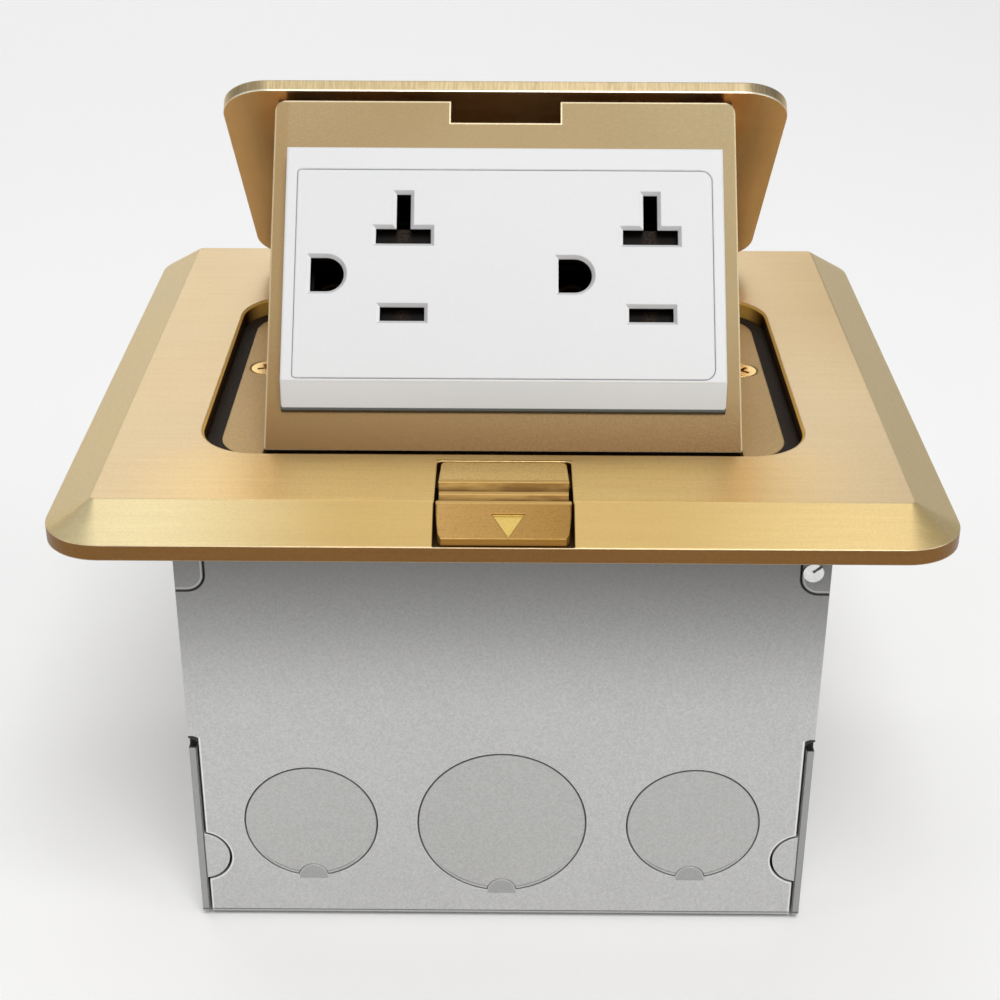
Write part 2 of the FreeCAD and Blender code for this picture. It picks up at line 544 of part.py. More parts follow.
def pan_screw_up(tag, x, y, z_head, z_tip, r, r_head, h_head=1.5):
    """Pan-head screw driven upwards: its head hangs below z_head."""
    head = rod(tag + "Head", "z", r_head, h_head, x, y, z_head - h_head)
    shank = rod(tag + "Shank", "z", r, z_tip - z_head, x, y, z_head)
    rec = cross_recess(tag + "R", x, y, z_head - h_head + 0.8, 1.3, 0.8, 0.5, 15)
    rec = at(rec, x, y, z_head - h_head - 0.3)
    return cut(tag, fuse(tag + "F", [head, shank]), rec)


node(group("FlangeScrews", [
    pan_screw_up("PlateScrewA", -d.plate_screw_x, d.plate_screw_front, FL, FL + 5.0, d.plate_screw_r, 2.3),
    pan_screw_up("PlateScrewB", d.plate_screw_x, d.plate_screw_front, FL, FL + 5.0, d.plate_screw_r, 2.3),
    pan_screw_up("PlateScrewC", -d.plate_screw_x, d.plate_screw_rear, FL - d.bracket_steel, FL + 5.0, d.plate_screw_r, 2.3),
    pan_screw_up("PlateScrewD", d.plate_screw_x, d.plate_screw_rear, FL - d.bracket_steel, FL + 5.0, d.plate_screw_r, 2.3)]), "flange_screws")

# ------------------------------------------------------------------ box: front, bottom and rear in one wrapped sheet
wb = body("WrapBody")
s = sketch_on(wb, "WrapOuter", "YZ_Plane")
round_rect(s, -HD, HD, 0, FL + 6, d.wrap_bend, 1)
pad(wb, "WrapOuterPad", s, d.box_width, midplane=True)
s = sketch_on(wb, "WrapInner", "YZ_Plane")
round_rect(s, -HD + T, HD - T, T, FL + 20, d.wrap_bend - T, 1)
pocket(wb, "WrapInnerPocket", s, d.box_width + 4, midplane=True)
trim = block("WrapTopTrim", -60, 60, -50, 50, FL, FL + 10)
side_cut = []
for sx, tag in ((-1, "L"), (1, "R")):
    def xs(a, b):
        return (a, b) if sx > 0 else (-b, -a)
    a, b = xs(d.notch_half, q(56))
    side_cut.append(block("Relief" + tag, a, b, -50, 50, -1, d.notch_top - d.notch_round))
    a, b = xs(d.notch_half + d.notch_round, q(56))
    side_cut.append(block("ReliefTop" + tag, a, b, -50, 50, 10, d.notch_top))
    side_cut.append(rod("ReliefRound" + tag, "y", d.notch_round, 100, (d.notch_half + d.notch_round) * sx, -50, d.notch_top - d.notch_round))
    side_cut.append(rod("TabHole" + tag, "y", d.tab_radius + d.tab_gap, 100, d.tab_centre_x * sx, -50, d.tab_centre_z))
    gap, rr = d.ear_gap, d.ear_round
    a, b = xs(d.ear_inner - gap, q(56))
    side_cut.append(block("EarA" + tag, a, b, -50, 50, d.ear_bottom + rr, FL + 1))
    a, b = xs(d.ear_inner + rr, q(56))
    side_cut.append(block("EarB" + tag, a, b, -50, 50, d.ear_bottom - gap, FL + 1))
    side_cut.append(rod("EarC" + tag, "y", rr + gap, 100, (d.ear_inner + rr) * sx, -50, d.ear_bottom + rr))
KO = [(-d.knock_x + 0.15, d.knock_half_r, "a"), (q(0.15), d.knock_big_r, "b"), (d.knock_x + 0.15, d.knock_half_r, "c")]
for kx, kr, tag in KO:
    hole = rod("KnockHole" + tag, "y", kr, 100, kx, -50, d.knock_z)
    tongue = rod("KnockTongue" + tag, "y", d.pry_r, 100, kx, -50, d.knock_z - kr)
    side_cut.append(cut("KnockOpening" + tag, hole, tongue))
side_cut.append(rod("EarthHole", "z", 2.0, 4, -30, 22, -1))
node(cut("WrapCut", wb, fuse("WrapTools", [trim] + side_cut)), "box_wrap")


# knockouts: sheared discs held by two small ties
def knock_disc(tag, kx, kr, y0, tie_y0):
    disc_ = rod("KD" + tag, "y", kr - d.knock_cut, T, kx, y0, d.knock_z)
    bite = rod("KB" + tag, "y", d.pry_r + d.knock_cut, 3, kx, y0 - 1, d.knock_z - kr)
    ties = []
    for i, ang in enumerate((52, 128)):
        r0 = kr.v - 1.2
        tie = doc.addObject("Part::Box", "KT%s%d" % (tag, i))
        tie.Length, tie.Width, tie.Height = 1.21, 0.5, 1.0
        turn = Rotation(Vector(0, -1, 0), ang)
        corner = Vector(kx.v + r0 * math.cos(math.radians(ang)), tie_y0.v, VAL["knock_z"] + r0 * math.sin(math.radians(ang)))
        tie.Placement = Placement(corner.sub(turn.multVec(Vector(0, 0, 0.5))), turn)
        ties.append(tie)
    return fuse("KF" + tag, [cut("KC" + tag, disc_, bite)] + ties)


halves = []
bigs = []
for side, y0, ty in (("F", -HD, -HD + T - 0.5), ("B", HD - T, HD - T)):
    for kx, kr, tag in KO:
        (bigs if tag == "b" else halves).append(knock_disc(tag + side, kx, kr, y0, ty))
node(group("HalfInchKnockouts", halves), "knockouts_half_inch")
node(group("ThreeQuarterKnockouts", bigs), "knockouts_three_quarter")


# ------------------------------------------------------------------ box side panels
def side_panel(tag, sx):
    b = body("Side%sBody" % tag)
    s = sketch_on(b, "Side%sOutline" % tag, "YZ_Plane", (HW - T) * sx)
    low = q(0.15)
    polygon(s, [(-HD + 0.8, low), (HD - 0.8, low), (HD, low + 0.8), (HD, d.strip_top), (HD - T, d.strip_top), (HD - T, FL),
                (-HD + T, FL), (-HD + T, d.strip_top), (-HD, d.strip_top), (-HD, low + 0.8)])
    pad(b, "Side%sPad" % tag, s, T, reversed_=sx < 0)
    s = sketch_on(b, "Side%sHoles" % tag, "YZ_Plane", (HW + 1) * sx)
    disc(s, -d.fix_hole_y, d.fix_hole_z, d.fix_hole_r, "ha")
    disc(s, d.fix_hole_y, d.fix_hole_z, d.fix_hole_r, "hb")
    pocket(b, "Side%sHolePocket" % tag, s, 4, reversed_=sx < 0)

    def xs(a, c):
        return (a, c) if sx > 0 else (-c, -a)
    pieces = [b]
    a, c = xs(q(41.0), HW - T)
    pieces.append(block("SideFoot" + tag, a, c, -40, 40, T, T + T))
    for end, ya in (("f", -HD), ("b", HD - T)):
        half = rod("Tab" + tag + end, "y", d.tab_radius, T, d.tab_centre_x * sx, ya, d.tab_centre_z)
        a, c = xs(q(40), HW)
        lim = block("TabLimit" + tag + end, a, c, -60, 60, 0, 30)
        pieces.append(common("TabHalf" + tag + end, half, lim))
        a, c = xs(d.ear_inner, HW)
        ear = [block("EarP" + tag + end, a, c, ya, ya + T, d.ear_bottom + d.ear_round, FL)]
        a, c = xs(d.ear_inner + d.ear_round, HW)
        ear.append(block("EarQ" + tag + end, a, c, ya, ya + T, d.ear_bottom, FL))
        ear.append(rod("EarR" + tag + end, "y", d.ear_round, T, (d.ear_inner + d.ear_round) * sx, ya, d.ear_bottom + d.ear_round))
        a, c = xs(q(40), HW)
        pieces.append(common("EarTrim" + tag + end, fuse("Ear" + tag + end, ear), block("EarLimit" + tag + end, a, c, -60, 60, 50, 90)))
    whole = fuse("Side%sAll" % tag, pieces)
    if sx > 0:
        whole = cut("SideRScrewCut", whole, rod("EarScrewHole", "y", 0.8, 4, 48.03, -HD - 1, FL - 10.9))
    return whole


node(side_panel("L", -1), "box_side_left")
node(side_panel("R", 1), "box_side_right")

# one bright screw closes the right front ear
es = fuse("EarScrewSolid", [rod("EarScrewHead", "y", 1.6, 0.8, 48.03, -HD - 0.8, FL - 10.9), rod("EarScrewShank", "y", 0.8, 3.0, 48.03, -HD, FL - 10.9)])
slot_tool = block("EarScrewSlot", -2.5, 2.5, -0.6, 0.6, -0.22, 0.22)
slot_tool.Placement = Placement(Vector(48.03, -VAL["box_depth"] / 2 - 0.9, VAL["box_height"] - 10.9), Rotation(Vector(0, -1, 0), 38))
bind(slot_tool, "Placement.Base.x", 48.03)
bind(slot_tool, "Placement.Base.y", -HD - 0.9)
bind(slot_tool, "Placement.Base.z", FL - 10.9)
node(cut("EarScrewCut", es, slot_tool), "ear_screw")

# earthing screw, hexagon head, in the bottom of the box
gs = fuse("EarthScrewSolid", [hexagon("EarthHex", "z", 7.0, 3.0, -30, 22, T), rod("EarthWasher", "z", 4.6, 0.8, -30, 22, T), rod("EarthShank", "z", 2.0, 1.1, -30, 22, 0.1)])
node(cut("EarthScrewCut", gs, block("EarthSlot", -33, -27, 21.6, 22.4, T + 2.0, T + 4)), "box_earth_screw")

# ------------------------------------------------------------------ hinge brackets, inverted channels under the frame
BS = d.bracket_steel
PZ = FL - d.pivot_drop


def bracket(tag, sx):
    def xs(a, c):
        return (a, c) if sx > 0 else (-c, -a)
    a, c = xs(d.bracket_in, HW - T)
    parts = [block("BrTop" + tag, a, c, -6, 41.7, FL - BS, FL)]
    a, c = xs(d.bracket_in, d.bracket_in + BS)
    parts.append(block("BrInner" + tag, a, c, -6, 41.7, FL - 6, FL - BS))
    parts.append(block("BrLobe" + tag, a, c, d.pivot_y - d.eye_r, 41.7, PZ, FL - 5))
    parts.append(rod("BrEye" + tag, "x", d.eye_r, BS, a, d.pivot_y, PZ))
    a, c = xs(HW - T - BS, HW - T)
    parts.append(block("BrOuter" + tag, a, c, -6, 41.7, FL - 12, FL - BS))
    holes = [rod("BrPin" + tag, "x", d.pin_r, 30, q(30) if sx > 0 else q(-60), d.pivot_y, PZ),
             rod("BrScrew" + tag, "z", d.frame_screw_r, 6, d.frame_screw_x * sx, d.frame_screw_y, FL - 4),
             rod("BrPlate" + tag, "z", d.plate_screw_r, 6, d.plate_screw_x * sx, d.plate_screw_rear, FL - 4)]
    return cut("Bracket" + tag, fuse("BracketF" + tag, parts), fuse("BracketH" + tag, holes))


node(bracket("L", -1), "hinge_bracket_left")
node(bracket("R", 1), "hinge_bracket_right")
node(rod("HingePin", "x", d.pin_r, d.pin_half * 2, -d.pin_half, d.pivot_y, PZ), "hinge_pin")


def clip(tag, x):
    ring = cut("ClipRing" + tag, rod("ClipO" + tag, "x", 2.9, 0.6, x, d.pivot_y, PZ), rod("ClipI" + tag, "x", d.pin_r, 0.8, x - 0.1, d.pivot_y, PZ))
    return cut("Clip" + tag, ring, block("ClipGap" + tag, x - 0.2, x + 0.8, d.pivot_y - 0.9, d.pivot_y + 0.9, PZ - 4, PZ))


node(group("HingeClips", [clip("L", -d.bracket_in - BS - 0.7), clip("R", d.bracket_in + BS + 0.1)]), "hinge_clips")


# torsion springs, round wire coiled about the pin with two straight legs
def coil(radius, wire, pitch, turns):
    helix = Part.makeHelix(pitch, pitch * turns, radius)
    prof = Part.Wire([Part.makeCircle(wire / 2.0, Vector(radius, 0, 0), Vector(0, 1, pitch / (2 * math.pi * radius)))])
    return Part.Wire(helix.Edges).makePipeShell([prof], True, True)


def leg(a, b, r):
    v = Vector(*b).sub(Vector(*a))
    return Part.makeCylinder(r, v.Length, Vector(*a), v)


def torsion_solids(x_left):
    rad, wire, pitch, turns = 2.2, 0.8, 0.95, 7.25
    # helix axis Z turned on to X
    m = Placement(Vector(x_left, VAL["pivot_y"], VAL["box_height"] - VAL["pivot_drop"]), Rotation(Vector(0, 1, 0), 90))
    c = coil(rad, wire, pitch, turns)
    c.Placement = m.multiply(c.Placement)
    ends = [m.multVec(Vector(rad, 0, 0)), m.multVec(Vector(rad * math.cos(2 * math.pi * turns), rad * math.sin(2 * math.pi * turns), pitch * turns))]
    ends.sort(key=lambda v: v.z)
    low, high = ends
    r = wire / 2.0
    ty, tz = VAL["tie_y"], VAL["box_height"] - VAL["tie_drop"]
    # one leg lies under the cross tie, the other on the rear wall of the box
    tip = (low.x, ty - 0.8, tz - VAL["tie_r"] - r - 0.12)
    end = (high.x, VAL["box_depth"] / 2 - VAL["steel"] - r - 0.02, VAL["box_height"] - VAL["pivot_drop"] - 13)
    return [c, leg((low.x, low.y, low.z), tip, r), leg((high.x, high.y, high.z), end, r)]


ts = doc.addObject("Part::Feature", "TorsionSprings")
ts.Shape = Part.makeCompound(torsion_solids(-31.5) + torsion_solids(24.5))
node(ts, "torsion_springs")

# ------------------------------------------------------------------ latch button
BH = d.button_half
bz = FL + d.flange_height
lb = body("ButtonBody")
s = sketch_on(lb, "ButtonProfile", "YZ_Plane", LX)
polygon(s, [(d.button_rear, FL + d.latch_shallow + d.button_clear), (d.latch_step - 0.4, FL + d.latch_shallow + d.button_clear), (d.latch_step - 0.4, FL + d.latch_deep + d.button_clear),
            (d.button_front, FL + d.latch_deep + d.button_clear), (d.button_front, FL + d.button_front_z), (d.button_crease, bz - 0.07), (d.button_crease + 0.3, bz), (d.button_rear, bz)])
pad(lb, "ButtonPad", s, BH * 2, midplane=True)
s = sketch_on(lb, "GripOne", "YZ_Plane", LX)
disc(s, -49.55, bz + 1.1, 1.9, "ga")
disc(s, -53.0, bz + 0.75, 1.3, "gb")
gp = pocket(lb, "GripGrooves", s, BH * 2 + 2, midplane=True)
s = sketch_on(lb, "SpringCavityOutline", "XY_Plane", FL)
polygon(s, [(LX - 8.2, -58.4), (LX - 6.4, -58.4), (LX - 6.4, -49.0), (LX - 8.2, -49.0)], "ca")
polygon(s, [(LX + 6.4, -58.4), (LX + 8.2, -58.4), (LX + 8.2, -49.0), (LX + 6.4, -49.0)], "cb")
pocket(lb, "SpringCavity", s, 3.95, reversed_=True)
s = sketch_on(lb, "StemOutline", "XY_Plane", FL + 1.3)
polygon(s, [(LX - 5, -54.4), (LX + 5, -54.4), (LX + 5, -50.0), (LX - 5, -50.0)])
pad(lb, "Stem", s, 1.6)
s = sketch_on(lb, "RivetHoles", "XY_Plane", FL)
disc(s, LX - 3, -52.2, 0.8, "ra")
disc(s, LX + 3, -52.2, 0.8, "rb")
pocket(lb, "RivetPocket", s, 3.3, reversed_=True)
# plan of the button: rounded at the back, widest at the crease, drawn in towards the lip
plan = body("ButtonPlan")
s = sketch_on(plan, "ButtonPlanOutline", "XY_Plane", FL)
half_plan = [(8.65, -41.3), (9.21, -41.53), (9.45, -42.1), (9.72, -48.3), (9.5, -51.2), (9.55, -53.4), (9.9, -54.35), (9.82, -56.6), (9.45, -59.75), (9.0, -60.6)]
polygon(s, [(LX + a_, q(b_)) for a_, b_ in half_plan] + [(LX - a_, q(b_)) for a_, b_ in reversed(half_plan)])
pad(plan, "ButtonPlanPad", s, 9)
shaped = common("ButtonShaped", lb, plan)
arrow = body("ArrowCutter")
arrow.Placement = Placement(Vector(0.82, VAL["button_crease"], VAL["box_height"] + VAL["flange_height"] - 0.07), Rotation(Vector(1, 0, 0), 23.7))
s = sketch_on(arrow, "ArrowOutline", "XY_Plane", -0.4)
polygon(s, [(-2.42, -1.95), (0.05, -6.3), (2.42, -1.95)])
pad(arrow, "ArrowPad", s, 3)
node(cut("ButtonCut", shaped, arrow), "latch_button")

leaf = block("CatchLeaf", LX - 6, LX + 6, -55.2, -36.9, FL + 0.5, FL + 1.3)
leaf2 = cut("CatchHoles", leaf, group("CatchHoleTools", [rod("CatchHoleA", "z", 0.8, 3, LX - 3, -52.2, FL), rod("CatchHoleB", "z", 0.8, 3, LX + 3, -52.2, FL)]))
node(leaf2, "latch_catch")
node(group("LatchRivets", [
    fuse("RivetA", [rod("RivetAs", "z", 0.8, 2.6, LX - 3, -52.2, FL + 0.5), rod("RivetAh", "z", 1.5, 0.35, LX - 3, -52.2, FL + 0.15)]),
    fuse("RivetB", [rod("RivetBs", "z", 0.8, 2.6, LX + 3, -52.2, FL + 0.5), rod("RivetBh", "z", 1.5, 0.35, LX + 3, -52.2, FL + 0.15)])]), "latch_rivets")


def helical(radius, wire, length, turns):
    pitch = length / turns
    helix = Part.makeHelix(pitch, length, radius)
    prof = Part.Wire([Part.makeCircle(wire / 2.0, Vector(radius, 0, 0), Vector(0, 1, pitch / (2 * math.pi * radius)))])
    return Part.Wire(helix.Edges).makePipeShell([prof], True, True)


lsp = doc.addObject("Part::Feature", "LatchSprings")
parts_ = []
for sx in (-1, 1):
    h = helical(0.5, 0.22, 7.1, 9)
    h.Placement = Placement(Vector(VAL["latch_x"] + sx * 7.3, -49.2, VAL["box_height"] + 3.2), Rotation(Vector(1, 0, 0), 90))
    parts_.append(h)
lsp.Shape = Part.makeCompound(parts_)
node(lsp, "latch_springs")

# ------------------------------------------------------------------ lid
ld = body("LidBody")
s = sketch_on(ld, "LidOutline", "XY_Plane")
round_rect(s, -d.lid_width / 2, d.lid_width / 2, 0, d.lid_long, d.lid_round, d.lid_round)
pad(ld, "LidPad", s, d.lid_thick)
s = sketch_on(ld, "LidTapped", "XY_Plane", -1)
for i, (xx, yy) in enumerate(((-31, 9), (31, 9), (-31, 22), (31, 22))):
    disc(s, xx, yy, 1.25, "h%d" % i)
pocket(ld, "LidTappedHoles", s, 2.35, reversed_=True)
# the rear edge is undercut so that it clears the floor plate as the lid turns
lw, ll, lr, lt, lu, la = [VAL[k] for k in ("lid_width", "lid_long", "lid_round", "lid_thick", "lid_undercut", "lid_land")]


def lid_outline_wire(dy, z):
    a, b, c, e = -lw / 2, lw / 2, -30.0, ll + dy
    pts = [Part.LineSegment(Vector(a, c, z), Vector(b, c, z)).toShape(),
           Part.LineSegment(Vector(b, c, z), Vector(b, e - lr, z)).toShape(),
           Part.Arc(Vector(b, e - lr, z), Vector(b - lr + lr * math.sqrt(0.5), e - lr + lr * math.sqrt(0.5), z), Vector(b - lr, e, z)).toShape(),
           Part.LineSegment(Vector(b - lr, e, z), Vector(a + lr, e, z)).toShape(),
           Part.Arc(Vector(a + lr, e, z), Vector(a + lr - lr * math.sqrt(0.5), e - lr + lr * math.sqrt(0.5), z), Vector(a, e - lr, z)).toShape(),
           Part.LineSegment(Vector(a, e - lr, z), Vector(a, c, z)).toShape()]
    return Part.Wire(pts)


under = doc.addObject("Part::Feature", "LidUndercut")
lean = Part.Face(lid_outline_wire(-lu, 0)).extrude(Vector(0, lu, lt - la))
land = Part.Face(lid_outline_wire(0, lt - la)).extrude(Vector(0, 0, la + 0.001))
under.Shape = lean.fuse(land)
lidc = common("LidCommon", ld, under)
node(in_lid_frame(lidc), "lid_plate")

# ------------------------------------------------------------------ carrier: front plate and two cheeks in one folded piece
cp = body("CarrierPlateBody")
s = sketch_on(cp, "CarrierOutline", "XY_Plane")
round_rect(s, -d.carrier_half, d.carrier_half, -d.carrier_long, 0, 0.4, d.carrier_round)
pad(cp, "CarrierPad", s, d.carrier_steel, reversed_=True)
s = sketch_on(cp, "CatchNotchOutline", "XY_Plane", 1)
polygon(s, [(d.catch_left, -d.catch_deep), (d.catch_right, -d.catch_deep), (d.catch_right, 2), (d.catch_left, 2)])
pocket(cp, "CatchNotch", s, 6)
s = sketch_on(cp, "ReceptacleWindow", "XY_Plane", 1)
polygon(s, [(-33.0, -47.5), (33.0, -47.5), (33.0, -12.7), (-33.0, -12.7)])
pocket(cp, "ReceptacleWindowCut", s, 6)
s = sketch_on(cp, "StrapHoles", "XY_Plane", 1)
for i, (xx, yy) in enumerate(((-25, -11.1), (25, -11.1), (-25, -49.2), (25, -49.2))):
    disc(s, xx, yy, 1.1, "h%d" % i)
pocket(cp, "StrapHolePocket", s, 6)
in_plate_frame(cp)

CHEEK = [(-2.085, 46.586), (4.035, 49.31), (20.657, 32.276), (18.6, 27.0), (18.6, -2.0), (36.3, -15.9), (36.3, -22.3), (14.0, -10.5), (-20.0, -6.5), (-34.6, 4.6), (-35.33, 5.824)]


def cheek(tag, sx):
    b = body("Cheek%sBody" % tag)
    s = sketch_on(b, "Cheek%sOutline" % tag, "YZ_Plane", (d.carrier_half - d.cheek_steel) * sx)
    polygon(s, [(q(y), FL + z) for y, z in CHEEK])
    pad(b, "Cheek%sPad" % tag, s, d.cheek_steel, reversed_=sx < 0)
    a = (d.carrier_half - d.cheek_steel) if sx > 0 else -d.carrier_half
    eye = rod("CheekEye" + tag, "x", d.eye_r, d.cheek_steel, a, d.pivot_y, PZ)
    return [b, eye]


lidfl = []
for tag, sx in (("L", -1), ("R", 1)):
    a, c = (q(27.0), d.carrier_half) if sx > 0 else (-d.carrier_half, q(-27.0))
    o = block("LidFlange" + tag, a, c, 4.5, 26, -1.2, 0)
    holes = group("LidFlangeHoles" + tag, [rod("LFH%sa" % tag, "z", 1.25, 3, 31 * sx, 9, -2), rod("LFH%sb" % tag, "z", 1.25, 3, 31 * sx, 22, -2)])
    lidfl.append(in_lid_frame(cut("LidFlangeCut" + tag, o, holes)))
carrier = fuse("CarrierFuse", [cp] + cheek("L", -1) + cheek("R", 1) + lidfl)
pin_hole = rod("CarrierPinHole", "x", d.pin_r + d.pin_running, 90, -45, d.pivot_y, PZ)
tie_hole = rod("CarrierTieHole", "x", d.tie_r, 90, -45, d.tie_y, FL - d.tie_drop)
node(cut("CarrierCut", carrier, group("CarrierHoles", [pin_hole, tie_hole])), "carrier")
node(rod("CrossTie", "x", d.tie_r, (d.carrier_half - 0.1) * 2, -d.carrier_half + 0.1, d.tie_y, FL - d.tie_drop), "cross_tie")


def lid_screw(tag, x, y):
    head = rod(tag + "Head", "z", 2.2, 1.3, x, y, -2.5)
    shank = rod(tag + "Shank", "z", 1.25, 2.5, x, y, -1.2)
    rec = cross_recess(tag + "R", x, y, -2.5, 1.2, 0.7, 0.45, 30)
    rec = at(rec, x, y, -2.8)
    return cut(tag, fuse(tag + "F", [head, shank]), rec)


ls_ = group("LidScrews", [lid_screw("LidScrewA", -31, 9), lid_screw("LidScrewB", 31, 9), lid_screw("LidScrewC", -31, 22), lid_screw("LidScrewD", 31, 22)])
node(in_lid_frame(ls_), "lid_screws")

# ------------------------------------------------------------------ receptacle: surround and face
sb = body("SurroundBody")
s = sketch_on(sb, "SurroundProfile", "YZ_Plane")
polygon(s, [(-d.surround_top, 0), (-d.surround_top, d.surround_proud), (-d.surround_bevel, d.surround_proud), (-d.surround_bottom, d.surround_foot), (-d.surround_bottom, 0)])
sp = pad(sb, "SurroundPad", s, d.surround_half * 2, midplane=True)
s = sketch_on(sb, "SurroundWindow", "XY_Plane", 8)
round_rect_lr(s, -d.face_half - d.face_gap, d.face_half + d.face_gap, -d.face_bottom - d.face_gap, -d.face_top + d.face_gap, d.face_round_left + d.face_gap, d.face_round_right + d.face_gap)
swp = pocket(sb, "SurroundWindowCut", s, 12)
s = sketch_on(sb, "SurroundScrewHoles", "XY_Plane", -1)
for i, (xx, yy) in enumerate(((-25, -11.1), (25, -11.1), (-25, -49.2), (25, -49.2))):
    disc(s, xx, yy, 1.1, "h%d" % i)
shp = pocket(sb, "SurroundScrewPockets", s, 2.1, reversed_=True)
doc.recompute()
sh_, stp, sbt, spr, shf = [VAL[k] for k in ("surround_half", "surround_top", "surround_bottom", "surround_proud", "surround_foot")]
outer_edges = edges_where(shp.Shape, lambda e: (e.BoundBox.ZMax > 0.75 and e.BoundBox.ZMin > 0.6) and
                          (abs(abs(e.CenterOfMass.x) - sh_) < 1e-4 or (abs(e.CenterOfMass.y + stp) < 1e-4 and abs(e.CenterOfMass.z - spr) < 1e-4)))
soft = fillet(sb, "SurroundSoftEdge", shp, outer_edges, 0.35)
doc.recompute()
seam_edges = edges_where(soft.Shape, lambda e: abs(e.BoundBox.ZMin - spr) < 1e-5 and abs(e.BoundBox.ZMax - spr) < 1e-5 and
                         abs(e.CenterOfMass.x) < VAL["face_half"] + 0.3 and -VAL["face_bottom"] - 0.3 < e.CenterOfMass.y < -VAL["face_top"] + 0.3)
chamfer(sb, "SeamBevelOuter", soft, seam_edges, d.seam_bevel)
in_plate_frame(sb)
node(sb, "receptacle_surround")

fb = body("FaceBody")
s = sketch_on(fb, "FaceOutline", "XY_Plane", -d.carrier_steel)
round_rect_lr(s, -d.face_half, d.face_half, -d.face_bottom, -d.face_top, d.face_round_left, d.face_round_right)
fpad = pad(fb, "FacePad", s, d.surround_proud + d.carrier_steel)
doc.recompute()
spz = VAL["surround_proud"]
seam_rim = edges_where(fpad.Shape, lambda e: abs(e.BoundBox.ZMin - spz) < 1e-5 and abs(e.BoundBox.ZMax - spz) < 1e-5)
chamfer(fb, "SeamBevelInner", fpad, seam_rim, d.seam_bevel)
s = sketch_on(fb, "FaceHollow", "XY_Plane", -d.carrier_steel - 1)
polygon(s, [(-d.face_half + 1.5, -d.face_bottom + 1.5), (d.face_half - 1.5, -d.face_bottom + 1.5), (d.face_half - 1.5, -d.face_top - 1.5), (-d.face_half + 1.5, -d.face_top - 1.5)])
pocket(fb, "FaceHollowCut", s, 1 + d.carrier_steel + 1.29, reversed_=True)
BARW, BARL, STW, STT = d.bar_wide, d.bar_long, d.stem_wide, d.stem_top


def tee(cx, grow, shift=0):
    """Outline of the T-shaped neutral slot, grown on every side."""
    g = q(grow)
    n = -d.neutral_line - shift
    half, sw = BARL / 2 + g, STW / 2 + g
    up = n + BARW / 2 + g
    lo = n - BARW / 2 - g
    tp = -STT - shift + g
    return [(cx - half, lo), (cx + half, lo), (cx + half, up), (cx + sw, up), (cx + sw, tp), (cx - sw, tp), (cx - sw, up), (cx - half, up)]


def slot_rect(cx, cy, wx, wy, grow):
    g = q(grow)
    return [(cx - wx / 2 - g, cy - wy / 2 - g), (cx + wx / 2 + g, cy - wy / 2 - g), (cx + wx / 2 + g, cy + wy / 2 + g), (cx - wx / 2 - g, cy + wy / 2 + g)]


def dee(sk, cx, cy, r, flat, grow, tag):
    """Ground hole: half round on the right, square on the left."""
    cx, cy, r, flat, g = q(cx), q(cy), q(r), q(flat), q(grow)
    R = r + g
    n = sk.GeometryCount
    x0 = cx - flat - g
    sk.addGeometry([
        Part.LineSegment(Vector(cx.v, cy.v + R.v, 0), Vector(x0.v, cy.v + R.v, 0)),
        Part.LineSegment(Vector(x0.v, cy.v + R.v, 0), Vector(x0.v, cy.v - R.v, 0)),
        Part.LineSegment(Vector(x0.v, cy.v - R.v, 0), Vector(cx.v, cy.v - R.v, 0)),
        Part.ArcOfCircle(Part.Circle(Vector(cx.v, cy.v, 0), Vector(0, 0, 1), R.v), -math.pi / 2, math.pi / 2)], False)
    sk.addConstraint(Sketcher.Constraint("Coincident", n, 2, n + 1, 1))
    sk.addConstraint(Sketcher.Constraint("Coincident", n + 1, 2, n + 2, 1))
    sk.addConstraint(Sketcher.Constraint("Tangent", n + 2, 2, n + 3, 1))
    sk.addConstraint(Sketcher.Constraint("Tangent", n + 3, 2, n, 1))
    sk.addConstraint(Sketcher.Constraint("Horizontal", n))
    sk.addConstraint(Sketcher.Constraint("Vertical", n + 1))
    dim(sk, "Radius", (n + 3,), R, tag + "r")
    locate(sk, n + 3, 3, cx, cy, tag)
    dim(sk, "DistanceX", (-1, 1, n + 1, 1), x0, tag + "flat")


OUT = [("A", d.outlet_left), ("B", d.outlet_right)]
s = sketch_on(fb, "SlotOutlines", "XY_Plane", 8)
for tag, cx in OUT:
    polygon(s, tee(cx, 0), "t" + tag)
    polygon(s, slot_rect(cx, -d.hot_line, d.hot_long, d.hot_wide, 0), "k" + tag)
    dee(s, cx - d.ground_offset, -d.ground_line, d.ground_r, d.ground_r - 0.25, 0, "g" + tag)
fslots = pocket(fb, "Slots", s, 12)
doc.recompute()
face_rim = edges_where(fslots.Shape, lambda e: abs(e.BoundBox.ZMin - spz) < 1e-5 and abs(e.BoundBox.ZMax - spz) < 1e-5
                       and abs(e.CenterOfMass.x) < VAL["face_half"] - 1.2 and -VAL["face_bottom"] + 0.6 < e.CenterOfMass.y < -VAL["face_top"] - 0.6)
ch = chamfer(fb, "SlotBevels", fslots, face_rim, d.rim_cut)
in_plate_frame(fb)
node(fb, "receptacle_face")

